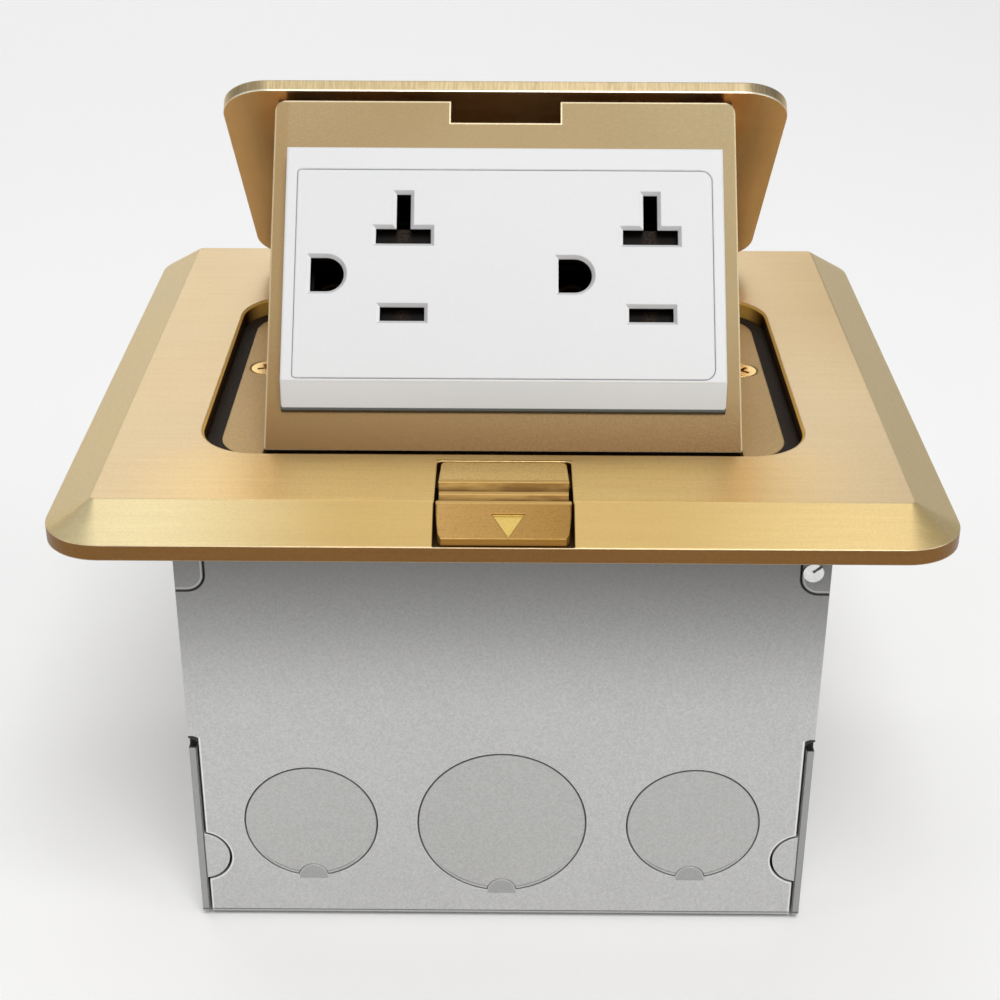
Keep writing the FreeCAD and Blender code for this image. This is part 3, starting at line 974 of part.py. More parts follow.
# mounting strap behind the plate, with a tab bent back for the earthing screw
CS = d.carrier_steel
SB = CS + d.strap_steel
strap = body("StrapBody")
s = sketch_on(strap, "StrapOutline", "XY_Plane", -CS)
round_rect(s, -34.6, 34.6, -51.4, -9.0, 1.5, 1.5)
pad(strap, "StrapPad", s, d.strap_steel, reversed_=True)
s = sketch_on(strap, "StrapWindow", "XY_Plane", 2)
polygon(s, [(-30, -45.5), (30, -45.5), (30, -14.7), (-30, -14.7)])
pocket(strap, "StrapWindowCut", s, 9)
s = sketch_on(strap, "StrapScrewHoles", "XY_Plane", 2)
for i, (xx, yy) in enumerate(((-25, -11.1), (25, -11.1), (-25, -49.2), (25, -49.2))):
    disc(s, xx, yy, 1.1, "h%d" % i)
pocket(strap, "StrapScrewPocket", s, 9)
s = sketch_on(strap, "EarthTabOutline", "XY_Plane", -CS - 0.2)
polygon(s, [(8, -51.4), (18, -51.4), (18, -50.2), (8, -50.2)])
pad(strap, "EarthTab", s, 9.5, reversed_=True)
tabhole = rod("EarthTabHole", "y", 1.6, 4, 13, -53, -CS - 5.5)
node(in_plate_frame(cut("StrapCut", strap, tabhole)), "mounting_strap")

# housing with three contact channels
BK = d.body_back
hb = body("HousingBody")
s = sketch_on(hb, "HousingOutline", "XY_Plane", -SB)
round_rect(s, -d.body_half, d.body_half, -d.body_bottom, -d.body_top, 1.5, 1.5)
hp = pad(hb, "HousingPad", s, BK - SB, reversed_=True)
s = sketch_on(hb, "Channels", "XY_Plane", 2)
polygon(s, [(-30, -39.4), (30, -39.4), (30, -34.4), (-30, -34.4)], "ha")
polygon(s, [(-31, -33.5), (30, -33.5), (30, -27.2), (-31, -27.2)], "ga")
polygon(s, [(-30, -26.6), (30, -26.6), (30, -15.6), (-30, -15.6)], "na")
pocket(hb, "ChannelCut", s, 2 + 20)
htools = []
for tag, xx in (("a", -14.0), ("b", 14.0)):
    htools.append(block("HotRecess" + tag, xx - 4.4, xx + 4.4, -48, -44.2, -21, -11))
    htools.append(rod("HotScrewHole" + tag, "y", 1.5, 6, xx, -44.5, -16))
    htools.append(rod("NeutralScrewHole" + tag, "y", 1.5, 3, xx, -15.8, -16))
node(in_plate_frame(cut("HousingCut", hb, fuse("HousingTools", htools))), "receptacle_body")


# contacts: bus bars with folded blade clips
def clip_pair(tag, cx, y0, y1, half):
    """Two leaves joined at the bottom."""
    return [block(tag + "L", cx - half, cx + half, y0, q(y0) + 0.6, -18, -9),
            block(tag + "U", cx - half, cx + half, q(y1) - 0.6, y1, -18, -9),
            block(tag + "F", cx - half, cx + half, y0, y1, -18.6, -18)]


hot = [block("HotBus", -24, 30, -39.3, -38.5, -18, -12)]
for tag, cx in OUT:
    hot += clip_pair("Hot" + tag, cx, -38.5, -34.6, 3.2)
node(in_plate_frame(fuse("HotContacts", hot)), "hot_contacts")
neu = [block("NeutralBus", -24, 30, -16.6, -15.8, -18, -12)]
for tag, cx in OUT:
    neu += clip_pair("Neutral" + tag, cx, -26.0, -21.8, 4.2)
    neu.append(block("NeutralArm" + tag, cx - 1.6, cx + 1.6, -22.4, -16.0, -18, -16.5))
node(in_plate_frame(fuse("NeutralContacts", neu)), "neutral_contacts")
gnd = [block("GroundBus", -30, 12.5, -31.4, -29.2, -19.6, -18.6)]
for tag, cx in OUT:
    gx = cx - d.ground_offset
    gnd.append(cut("GroundSocket" + tag, rod("GSO" + tag, "z", 2.75, 9.1, gx, -d.ground_line, -18.6), rod("GSI" + tag, "z", 2.2, 12, gx, -d.ground_line, -17.5)))
node(in_plate_frame(fuse("GroundContacts", gnd)), "ground_contacts")


def side_screw(tag, x, y_seat, sign, z, reach, r_head=3.6):
    """Terminal screw on the side of the housing; its head stands out along sign * Y."""
    h = 1.8
    if sign < 0:
        head = rod(tag + "Head", "y", r_head, h, x, q(y_seat) - h, z)
        shank = rod(tag + "Shank", "y", 1.5, reach, x, y_seat, z)
        slot = block(tag + "Slot", q(x) - 5, q(x) + 5, q(y_seat) - h - 1, q(y_seat) - h + 0.8, q(z) - 0.5, q(z) + 0.5)
    else:
        head = rod(tag + "Head", "y", r_head, h, x, y_seat, z)
        shank = rod(tag + "Shank", "y", 1.5, reach, x, q(y_seat) - reach, z)
        slot = block(tag + "Slot", q(x) - 5, q(x) + 5, q(y_seat) + h - 0.8, q(y_seat) + h + 1, q(z) - 0.5, q(z) + 0.5)
    return cut(tag, fuse(tag + "F", [head, shank]), slot)


node(in_plate_frame(group("HotTerminals", [side_screw("HotTa", -14, -44.2, -1, -16, 4.9), side_screw("HotTb", 14, -44.2, -1, -16, 4.9)])), "hot_terminal_screws")
node(in_plate_frame(group("NeutralTerminals", [side_screw("NeuTa", -14, -13.4, 1, -16, 2.4), side_screw("NeuTb", 14, -13.4, 1, -16, 2.4)])), "neutral_terminal_screws")
gt = cut("EarthTerminal", fuse("EarthTF", [rod("EarthTHead", "y", 3.0, 1.8, 13, -53.2, -CS - 5.5), rod("EarthTShank", "y", 1.6, 3.4, 13, -51.4, -CS - 5.5)]),
         block("EarthTSlot", 8, 18, -54.2, -52.4, -CS - 6.0, -CS - 5.0))
node(in_plate_frame(gt), "earth_terminal_screw")


def strap_screw(tag, x, y):
    head = rod(tag + "Head", "z", 1.9, 1.3, x, y, -SB - 1.3)
    shank = rod(tag + "Shank", "z", 1.1, SB + 1.0, x, y, -SB)
    rec = cross_recess(tag + "R", x, y, 0, 1.0, 0.6, 0.4, 40)
    rec = at(rec, x, y, -SB - 1.6)
    return cut(tag, fuse(tag + "F", [head, shank]), rec)


node(in_plate_frame(group("StrapScrews", [strap_screw("StrapScrewA", -25, -11.1), strap_screw("StrapScrewB", 25, -11.1),
                                          strap_screw("StrapScrewC", -25, -49.2), strap_screw("StrapScrewD", 25, -49.2)])), "strap_screws")


# tamper-resistant shutters, one slide behind each outlet
def shutter(tag, cx):
    b = body("Shutter%sBody" % tag)
    s = sketch_on(b, "Shutter%sOutline" % tag, "XY_Plane", -0.5)
    polygon(s, [(cx - 6.3, -41.5), (cx + 6.3, -41.5), (cx + 6.3, -15.0), (cx + STW / 2, -15.0),
                (cx + STW / 2, -d.neutral_line + BARW / 2 + d.shutter_travel), (cx + BARL / 2, -d.neutral_line + BARW / 2 + d.shutter_travel),
                (cx + BARL / 2, -d.neutral_line - BARW / 2 + d.shutter_travel), (cx - BARL / 2, -d.neutral_line - BARW / 2 + d.shutter_travel),
                (cx - BARL / 2, -d.neutral_line + BARW / 2 + d.shutter_travel), (cx - STW / 2, -d.neutral_line + BARW / 2 + d.shutter_travel),
                (cx - STW / 2, -15.0), (cx - 6.3, -15.0)], "o")
    pad(b, "Shutter%sPad" % tag, s, 1.55)
    s = sketch_on(b, "Shutter%sWindow" % tag, "XY_Plane", 5)
    polygon(s, slot_rect(cx, -d.hot_line + d.shutter_travel, d.hot_long, d.hot_wide, 0), "w")
    pocket(b, "Shutter%sWindowCut" % tag, s, 9)
    in_plate_frame(b)
    return b


node(shutter("A", d.outlet_left), "shutter_left")
node(shutter("B", d.outlet_right), "shutter_right")
for tag, name, cx in (("A", "shutter_spring_left", VAL["outlet_left"]), ("B", "shutter_spring_right", VAL["outlet_right"])):
    f = doc.addObject("Part::Feature", "ShutterSpring" + tag)
    h = helical(0.5, 0.22, 3.6, 6)
    h.Placement = Placement(Vector(cx, -41.7, 0.27), Rotation(Vector(1, 0, 0), 90))
    f.Shape = Part.makeCompound([h])
    in_plate_frame(f)
    node(f, name)

# ------------------------------------------------------------------ check and write
doc.recompute()
bad = []
for o in doc.Objects:
    st = [str(k) for k in o.State]
    if "Invalid" in st or "Error" in st:
        bad.append("%s (%s): %s" % (o.Name, o.Label, st))
for o in NODES:
    sh = o.Shape
    if sh.isNull() or not sh.isValid() or len(sh.Solids) == 0:
        bad.append("%s: null, invalid or empty shape" % o.Label)
if bad:
    raise RuntimeError("\n".join(bad))
os.makedirs("parts", exist_ok=True)
for o in NODES:
    o.Shape.exportStep("parts/%s.step" % o.Label)
    b = o.Shape.BoundBox
    print("%-26s solids %2d  vol %9.1f  x %7.2f %7.2f  y %7.2f %7.2f  z %7.2f %7.2f" % (o.Label, len(o.Shape.Solids), o.Shape.Volume, b.XMin, b.XMax, b.YMin, b.YMax, b.ZMin, b.ZMax))
print("nodes", len(NODES))
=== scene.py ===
import bpy
import json
import math
from mathutils import Matrix, Vector

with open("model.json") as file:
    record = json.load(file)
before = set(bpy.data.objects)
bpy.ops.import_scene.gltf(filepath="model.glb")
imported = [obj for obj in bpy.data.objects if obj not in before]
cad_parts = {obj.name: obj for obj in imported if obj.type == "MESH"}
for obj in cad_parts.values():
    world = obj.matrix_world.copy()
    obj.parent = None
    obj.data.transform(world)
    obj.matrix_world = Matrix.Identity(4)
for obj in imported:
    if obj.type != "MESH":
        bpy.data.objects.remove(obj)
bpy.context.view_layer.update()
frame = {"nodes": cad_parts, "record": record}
NODES = frame["nodes"]


# ---------------------------------------------------------------- node helpers
class Mat:
    """A material under construction: short calls that add and link shader nodes."""

    def __init__(self, name):
        self.m = bpy.data.materials.new(name)
        self.m.use_nodes = True
        self.t = self.m.node_tree
        self.t.nodes.clear()
        self.out = self.t.nodes.new("ShaderNodeOutputMaterial")
        self.b = self.t.nodes.new("ShaderNodeBsdfPrincipled")
        self.t.links.new(self.b.outputs["BSDF"], self.out.inputs["Surface"])
        self.c = self.t.nodes.new("ShaderNodeTexCoord").outputs["Object"]

    def n(self, kind, **props):
        x = self.t.nodes.new(kind)
        for k, v in props.items():
            setattr(x, k, v)
        return x

    def link(self, a, b):
        self.t.links.new(a, b)

    def put(self, sock, v):
        if isinstance(v, bpy.types.NodeSocket):
            self.link(v, sock)
        else:
            sock.default_value = v

    def math(self, op, a, b=0.0, c=None, clamp=False):
        x = self.n("ShaderNodeMath", operation=op, use_clamp=clamp)
        self.put(x.inputs[0], a)
        self.put(x.inputs[1], b)
        if c is not None:
            self.put(x.inputs[2], c)
        return x.outputs[0]

    def map(self, scale=(1, 1, 1), rot=(0, 0, 0), loc=(0, 0, 0), src=None):
        x = self.n("ShaderNodeMapping")
        self.link(src or self.c, x.inputs["Vector"])
        x.inputs["Scale"].default_value = scale
        x.inputs["Rotation"].default_value = rot
        x.inputs["Location"].default_value = loc
        return x.outputs[0]

    def noise(self, scale, detail=2.0, rough=0.5, vec=None, distortion=0.0):
        x = self.n("ShaderNodeTexNoise")
        self.link(vec or self.c, x.inputs["Vector"])
        x.inputs["Scale"].default_value = scale
        x.inputs["Detail"].default_value = detail
        x.inputs["Roughness"].default_value = rough
        x.inputs["Distortion"].default_value = distortion
        return x.outputs["Fac"]

    def voronoi(self, scale, vec=None, feature="F1"):
        x = self.n("ShaderNodeTexVoronoi", feature=feature)
        self.link(vec or self.c, x.inputs["Vector"])
        x.inputs["Scale"].default_value = scale
        return x.outputs["Distance"]

    def ramp(self, fac, lo, hi, a=0.0, b=1.0, smooth=False):
        x = self.n("ShaderNodeMapRange", interpolation_type="SMOOTHSTEP" if smooth else "LINEAR")
        x.clamp = True
        self.link(fac, x.inputs["Value"])
        x.inputs["From Min"].default_value = lo
        x.inputs["From Max"].default_value = hi
        x.inputs["To Min"].default_value = a
        x.inputs["To Max"].default_value = b
        return x.outputs["Result"]

    def mix(self, fac, a, b, blend="MIX"):
        x = self.n("ShaderNodeMix", data_type="RGBA", blend_type=blend)
        self.put(x.inputs["Factor"], fac)
        for sock, v in ((x.inputs[6], a), (x.inputs[7], b)):
            if isinstance(v, bpy.types.NodeSocket):
                self.link(v, sock)
            else:
                sock.default_value = (*v[:3], 1.0)
        return x.outputs[2]

    def axis(self, vec, which):
        x = self.n("ShaderNodeSeparateXYZ")
        self.link(vec, x.inputs[0])
        return x.outputs[which]

    def edge(self, radius, lo=0.02, hi=0.35):
        """1 on a convex or concave edge, 0 on open faces."""
        bv = self.n("ShaderNodeBevel", samples=6)
        bv.inputs["Radius"].default_value = radius
        g = self.n("ShaderNodeNewGeometry")
        d = self.n("ShaderNodeVectorMath", operation="DOT_PRODUCT")
        self.link(bv.outputs[0], d.inputs[0])
        self.link(g.outputs["Normal"], d.inputs[1])
        inv = self.math("SUBTRACT", 1.0, d.outputs["Value"])
        return self.ramp(inv, lo, hi, 0.0, 1.0), bv.outputs[0]

    def bump(self, height, strength, distance, normal=None):
        x = self.n("ShaderNodeBump")
        self.link(height, x.inputs["Height"])
        x.inputs["Strength"].default_value = strength
        x.inputs["Distance"].default_value = distance
        if normal is not None:
            self.link(normal, x.inputs["Normal"])
        return x.outputs[0]

    def set(self, **kw):
        names = {"color": "Base Color", "metallic": "Metallic", "rough": "Roughness", "normal": "Normal", "ior": "IOR",
                 "spec": "Specular IOR Level", "coat": "Coat Weight", "coat_rough": "Coat Roughness", "sheen": "Sheen Weight", "aniso": "Anisotropic"}
        for k, v in kw.items():
            s = self.b.inputs[names[k]]
            if isinstance(v, bpy.types.NodeSocket):
                self.link(v, s)
            elif isinstance(v, tuple):
                s.default_value = (*v[:3], 1.0)
            else:
                s.default_value = v
        return self.m


def brushed(name, base, dark, bright, rough=0.30, lines_on="x", edge_r=0.00035, upright_shade=None, side=None, edge_gain=0.75, streak=1.0, grain=1.0, extra=None, marks_last=False):
    """Satin brushed brass: fine lines along one axis, soft cloudy tone, and a painted highlight brightening every edge.
    """
    m = Mat(name)
    long_, cross = 70.0, 3000.0
    sc = {"x": (long_, cross, cross), "y": (cross, long_, cross), "z": (cross, cross, long_)}[lines_on]
    lines = m.noise(1.0, 3.0, 0.65, vec=m.map(sc))
    wide = m.noise(1.0, 2.0, 0.5, vec=m.map(tuple(v * 0.22 for v in sc), loc=(3.1, 1.7, 0.4)))
    cloud = m.noise(24.0, 3.0, 0.55)
    speck = m.noise(3000.0, 2.0, 0.6)
    tone = m.math("ADD", m.math("MULTIPLY", m.ramp(lines, 0.3, 0.7), 0.34 * streak), m.math("MULTIPLY", m.ramp(wide, 0.3, 0.7), 0.20 * streak))
    tone = m.math("ADD", tone, m.math("MULTIPLY", m.ramp(speck, 0.3, 0.7), 0.46 * grain))
    tone = m.ramp(tone, 0.12, 0.85)
    col = m.mix(tone, dark, base)
    col = m.mix(m.math("MULTIPLY", m.ramp(cloud, 0.42, 0.72), 0.25), col, bright)
    tc = m.n("ShaderNodeTexCoord")
    nrm_z = m.math("ABSOLUTE", m.axis(tc.outputs["Normal"], 2))
    nrm_x = m.math("ABSOLUTE", m.axis(tc.outputs["Normal"], 0))
    # painted light: faces turned sideways, the left and right bevels, get their own paler tone
    if side is not None:
        face = m.math("MULTIPLY", m.ramp(nrm_x, 0.25, 0.45), m.ramp(nrm_z, 0.5, 0.7))
        col = m.mix(face, col, m.mix(m.ramp(speck, 0.35, 0.65), tuple(v * 0.90 for v in side), side))
    # vertical faces: the outer rim painted dark as painted shade; the opening's walls painted amber where they face
    # front and back and near black where they face sideways, as painted light and shade
    if upright_shade is not None:
        face = m.ramp(nrm_z, 0.25, 0.55, 1.0, 0.0)
        inner = m.mix(m.ramp(nrm_x, 0.3, 0.8), (0.90, 0.56, 0.17), (0.10, 0.040, 0.010))
        outer = m.mix(tone, tuple(v * 0.78 for v in upright_shade), upright_shade)
        col = m.mix(face, col, m.mix(m.ramp(m.axis(m.c, 2), 0.0818, 0.0822), outer, inner))
    e, bn = m.edge(edge_r)
    r = m.math("ADD", m.ramp(cloud, 0.3, 0.7, rough - 0.03, rough + 0.05), m.math("MULTIPLY", m.ramp(lines, 0.3, 0.7), 0.05))
    m.dull = None
    m.matte = None
    if extra and not marks_last:
        col = extra(m, col, tone)
    # painted highlight: every edge, convex or concave, mixed towards the bright colour
    col = m.mix(m.math("MULTIPLY", e, edge_gain), col, bright)
    if extra and marks_last:
        col = extra(m, col, tone)
    if m.dull is not None:
        r = m.math("MAXIMUM", r, m.math("MULTIPLY", m.dull, 0.62))
    height = m.math("ADD", m.math("MULTIPLY", lines, 0.6), m.math("MULTIPLY", speck, 0.6))
    metal = 1.0 if m.matte is None else m.math("SUBTRACT", 1.0, m.math("MULTIPLY", m.matte, 0.75))
    return m.set(color=col, metallic=metal, rough=r, normal=m.bump(height, 0.30, 0.00003, bn))


def sand_gold(name, base, dark, bright, rough=0.48, edge_r=0.00028, metallic=0.55, extra=None, edge_hi=0.35, edge_gain=0.75):
    """Metallic gold paint over a very fine sand texture."""
    m = Mat(name)
    grit = m.noise(3600.0, 2.0, 0.6)
    pits = m.voronoi(4200.0)
    cloud = m.noise(16.0, 2.0, 0.5)
    warm = m.noise(2300.0, 1.0, 0.5, vec=m.map((1, 1, 1), loc=(0.3, 0.2, 0.1)))
    tone = m.math("ADD", m.math("MULTIPLY", m.ramp(grit, 0.36, 0.64), 0.75), m.math("MULTIPLY", m.ramp(pits, 0.1, 0.6), 0.25))
    col = m.mix(tone, dark, base)
    col = m.mix(m.math("MULTIPLY", m.ramp(warm, 0.58, 0.68), 0.22), col, tuple(min(1.0, v * k) for v, k in zip(base, (1.30, 1.12, 0.62))))
    col = m.mix(m.math("MULTIPLY", m.ramp(cloud, 0.45, 0.7), 0.10), col, bright)
    if extra:
        col = extra(m, col)
    e, bn = m.edge(edge_r, 0.02, edge_hi)
    # painted highlight: every edge mixed towards the bright colour
    col = m.mix(m.math("MULTIPLY", e, edge_gain), col, bright)
    r = m.math("ADD", m.ramp(grit, 0.3, 0.7, rough - 0.04, rough + 0.06), m.math("MULTIPLY", e, -0.1))
    nrm = m.bump(m.math("ADD", grit, m.math("MULTIPLY", pits, 0.4)), 0.22, 0.00003, bn)
    return m.set(color=col, metallic=metallic, rough=r, normal=nrm)


def zinc(name, base, dark, rough=0.46, metallic=0.6, edge_r=0.0004, edge_gain=1.0, bright=(0.97, 0.97, 0.97), extra=None):
    """Zinc-plated sheet: even satin grey, faint clouding, fine tooth, and a painted highlight on every edge."""
    m = Mat(name)
    tooth = m.noise(3300.0, 2.0, 0.65)
    fine = m.noise(1500.0, 2.0, 0.5)
    cloud = m.noise(34.0, 4.0, 0.6)
    tone = m.math("ADD", m.math("MULTIPLY", m.ramp(tooth, 0.38, 0.62), 0.60), m.math("MULTIPLY", m.ramp(cloud, 0.3, 0.7), 0.25))
    tone = m.math("ADD", tone, m.math("MULTIPLY", m.ramp(fine, 0.35, 0.65), 0.15))
    col = m.mix(tone, dark, base)
    e, bn = m.edge(edge_r)
    # painted highlight: every edge mixed towards the bright colour
    col = m.mix(m.math("MULTIPLY", e, edge_gain), col, bright)
    if extra:
        col = extra(m, col)
    r = m.math("ADD", m.ramp(cloud, 0.3, 0.7, rough - 0.04, rough + 0.05), m.math("MULTIPLY", m.ramp(tooth, 0.3, 0.7), 0.05))
    nrm = m.bump(m.math("ADD", tooth, m.math("MULTIPLY", fine, 0.5)), 0.28, 0.00003, bn)
    return m.set(color=col, metallic=metallic, rough=r, normal=nrm)


def plain_metal(name, base, dark, rough=0.3, metallic=1.0, scale=1500.0, edge_r=0.0002, extra=None):
    m = Mat(name)
    a = m.noise(scale, 3.0, 0.6)
    c = m.noise(120.0, 3.0, 0.6)
    col = m.mix(m.ramp(m.math("ADD", m.math("MULTIPLY", a, 0.6), m.math("MULTIPLY", c, 0.4)), 0.35, 0.65), dark, base)
    if extra:
        col = extra(m, col)
    e, bn = m.edge(edge_r)
    # painted highlight: edges mixed towards a brighter copy of the base colour
    col = m.mix(m.math("MULTIPLY", e, 0.5), col, tuple(min(1.0, v * 1.25) for v in base))
    r = m.ramp(a, 0.3, 0.7, rough - 0.05, rough + 0.08)
    return m.set(color=col, metallic=metallic, rough=r, normal=m.bump(a, 0.2, 0.00002, bn))


def plastic(name, base, dark, rough=0.34, scale=1400.0, bump=0.10, edge_r=0.0003, extra=None, spec=0.5):
    m = Mat(name)
    a = m.noise(scale, 2.0, 0.5)
    c = m.noise(30.0, 2.0, 0.5)
    col = m.mix(m.ramp(m.math("ADD", m.math("MULTIPLY", a, 0.5), m.math("MULTIPLY", c, 0.5)), 0.3, 0.7), dark, base)
    e, bn = m.edge(edge_r, 0.03, 0.5)
    r = m.math("ADD", m.ramp(a, 0.3, 0.7, rough - 0.03, rough + 0.05), m.math("MULTIPLY", e, -0.05))
    if extra:
        col = extra(m, col)
    return m.set(color=col, metallic=0.0, rough=r, spec=spec, normal=m.bump(a, bump, 0.00002, bn))


# ---------------------------------------------------------------- the plate's own directions
TILT = math.radians(50.8)
P0 = Vector((0.0, 0.00059, 0.12954))
UP = Vector((0, math.cos(TILT), math.sin(TILT)))
OUT = Vector((0, -math.sin(TILT), math.cos(TILT)))
NOTCH = 0.00365


def along(m, direction, origin):
    """Distance of the surface point from origin, measured along a direction (object space)."""
    s = m.n("ShaderNodeVectorMath", operation="SUBTRACT")
    m.link(m.c, s.inputs[0])
    s.inputs[1].default_value = origin
    d = m.n("ShaderNodeVectorMath", operation="DOT_PRODUCT")
    m.link(s.outputs[0], d.inputs[0])
    d.inputs[1].default_value = direction
    return d.outputs["Value"]


def inside(m, v, lo, hi, soft=0.00002):
    """1 where lo < v < hi, with a soft margin."""
    return m.math("MULTIPLY", m.ramp(v, lo - soft, lo + soft), m.ramp(v, hi - soft, hi + soft, 1.0, 0.0))


def part_of(m, which):
    return m.axis(m.c, which)


def radius_about(m, x, z):
    """Distance in the front view from a point at x, z."""
    dx = m.math("SUBTRACT", part_of(m, 0), x)
    dz = m.math("SUBTRACT", part_of(m, 2), z)
    return m.math("SQRT", m.math("ADD", m.math("MULTIPLY", dx, dx), m.math("MULTIPLY", dz, dz)))


# ---------------------------------------------------------------- materials
KNOCK = [(-0.03165, 0.01115), (0.00015, 0.0141), (0.03195, 0.01115)]
KZ = 0.0196


def sheet_marks(m, col):
    """Painted shade darkening the sheet towards the plate above it; painted shade and highlight on the ear outline, the
    relief's cut edges, the bend line and the pry seats.
    """
    x, z = m.math("ABSOLUTE", part_of(m, 0)), part_of(m, 2)
    tc = m.n("ShaderNodeTexCoord")
    facing = m.ramp(m.math("ABSOLUTE", m.axis(tc.outputs["Normal"], 1)), 0.7, 0.9)
    inner = m.ramp(m.math("ABSOLUTE", m.axis(tc.outputs["Normal"], 0)), 0.4, 0.6, 1.0, 0.0)
    # painted shade: the sheet darkens towards the plate overhead, a little more on the right
    col = m.mix(m.ramp(z, 0.040, 0.078, 0.0, 0.90, smooth=True), col, m.mix(m.ramp(part_of(m, 0), 0.0, 0.05), (0.125, 0.125, 0.122), (0.100, 0.100, 0.098)))
    # folded ear: painted shade in the gap round it, painted highlight on its inner edge
    ax = m.math("MAXIMUM", m.math("SUBTRACT", 0.0492, x), 0.0)
    az = m.math("MAXIMUM", m.math("SUBTRACT", 0.0670, z), 0.0)
    ear = m.math("SQRT", m.math("ADD", m.math("MULTIPLY", ax, ax), m.math("MULTIPLY", az, az)))
    col = m.mix(m.math("MULTIPLY", m.math("MULTIPLY", inside(m, ear, 0.00272, 0.00312, 0.00006), facing), 0.96), col, (0.006, 0.006, 0.006))
    col = m.mix(m.math("MULTIPLY", m.math("MULTIPLY", inside(m, ear, 0.00236, 0.00258, 0.00006), facing), 0.40), col, (0.80, 0.80, 0.80))
    # relief beside the front sheet: painted highlight on the cut edge and round the tab, painted shade on the strip of
    # the side sheet, its inner line and the top of the relief
    rt = m.math("SQRT", m.math("ADD", m.math("POWER", m.math("SUBTRACT", x, 0.05025), 2.0), m.math("POWER", m.math("SUBTRACT", z, 0.0125), 2.0)))
    low = m.ramp(z, 0.0364, 0.0366, 1.0, 0.0)
    cut = m.math("MULTIPLY", inside(m, x, 0.04902, 0.04926, 0.00005), low)
    cut = m.math("MULTIPLY", cut, m.ramp(rt, 0.0050, 0.0051))
    arc = m.math("MULTIPLY", inside(m, rt, 0.00502, 0.00526, 0.00005), m.ramp(x, 0.0493, 0.0494, 1.0, 0.0))
    col = m.mix(m.math("MULTIPLY", m.math("MULTIPLY", m.math("MAXIMUM", cut, arc), facing), 0.85), col, (0.95, 0.95, 0.95))
    strip = m.math("MULTIPLY", m.math("MULTIPLY", m.ramp(x, 0.04965, 0.0497), m.ramp(z, 0.0346, 0.0348, 1.0, 0.0)), facing)
    col = m.mix(m.math("MULTIPLY", strip, 0.85), col, (0.34, 0.34, 0.34))
    rim = m.math("MULTIPLY", m.math("MULTIPLY", inside(m, x, 0.04965, 0.04990, 0.00004), m.ramp(z, 0.0346, 0.0348, 1.0, 0.0)), facing)
    col = m.mix(m.math("MULTIPLY", rim, 0.8), col, (0.05, 0.05, 0.05))
    top = m.math("MULTIPLY", m.math("MULTIPLY", m.ramp(x, 0.04925, 0.04935), inside(m, z, 0.03452, 0.0368, 0.00004)), m.ramp(m.math("SUBTRACT", z, m.math("MULTIPLY", m.math("SUBTRACT", x, 0.0493), 0.45)), 0.0364, 0.0365, 1.0, 0.0))
    col = m.mix(m.math("MULTIPLY", m.math("MULTIPLY", top, inner), 0.95), col, (0.010, 0.009, 0.008))
    # bend line: painted shade along the bend and, faintly, on the band below it
    col = m.mix(m.math("MULTIPLY", m.math("MULTIPLY", inside(m, z, 0.00112, 0.00136, 0.00006), inner), 0.85), col, (0.07, 0.07, 0.07))
    col = m.mix(m.ramp(z, 0.0009, 0.0011, 0.20, 0.0), col, (0.44, 0.44, 0.44))
    # pry seats: painted shade over each seat and along its foot, painted highlight on its upper arc
    for kx, kr in KNOCK:
        r = radius_about(m, kx, KZ - kr)
        seat = m.math("MULTIPLY", m.ramp(r, 0.00235, 0.0024, 1.0, 0.0), m.ramp(z, KZ - kr - 0.00035, KZ - kr - 0.0003))
        col = m.mix(m.math("MULTIPLY", seat, 0.45), col, (0.22, 0.22, 0.22))
        low = m.math("MULTIPLY", inside(m, z, KZ - kr - 0.00042, KZ - kr - 0.00032, 0.00005), m.ramp(r, 0.00235, 0.0024, 1.0, 0.0))
        col = m.mix(m.math("MULTIPLY", low, 0.6), col, (0.12, 0.12, 0.12))
        arc = m.math("MULTIPLY", inside(m, r, 0.00222, 0.00238, 0.00005), m.ramp(z, KZ - kr + 0.0002, KZ - kr + 0.0004))
        col = m.mix(m.math("MULTIPLY", arc, 0.5), col, (0.75, 0.75, 0.75))
    return col


def knock_marks(m, col):
    """A second fine dark line near the foot of each disc, and painted shade darkening the cut just inside its rim."""
    z = part_of(m, 2)
    for kx, kr in KNOCK:
        r = radius_about(m, kx, KZ + 0.00035)
        ring = m.math("MULTIPLY", inside(m, r, kr - 0.00050, kr - 0.00036, 0.00006), m.ramp(z, KZ - kr * 0.55, KZ - kr * 0.75))
        col = m.mix(m.math("MULTIPLY", ring, 0.7), col, (0.10, 0.10, 0.10))
        away = radius_about(m, kx, KZ)
        rim = m.math("MULTIPLY", m.ramp(away, kr - 0.00036, kr - 0.00026), m.ramp(away, kr, kr + 0.0001, 1.0, 0.0))
        col = m.mix(m.math("MULTIPLY", rim, 0.85), col, (0.05, 0.05, 0.05))
    return col


LATCH_X = 0.00017


def tuple_scale(col, m, k):
    """A colour output scaled by k."""
    return m.mix(1.0 - k, col, (0.0, 0.0, 0.0))


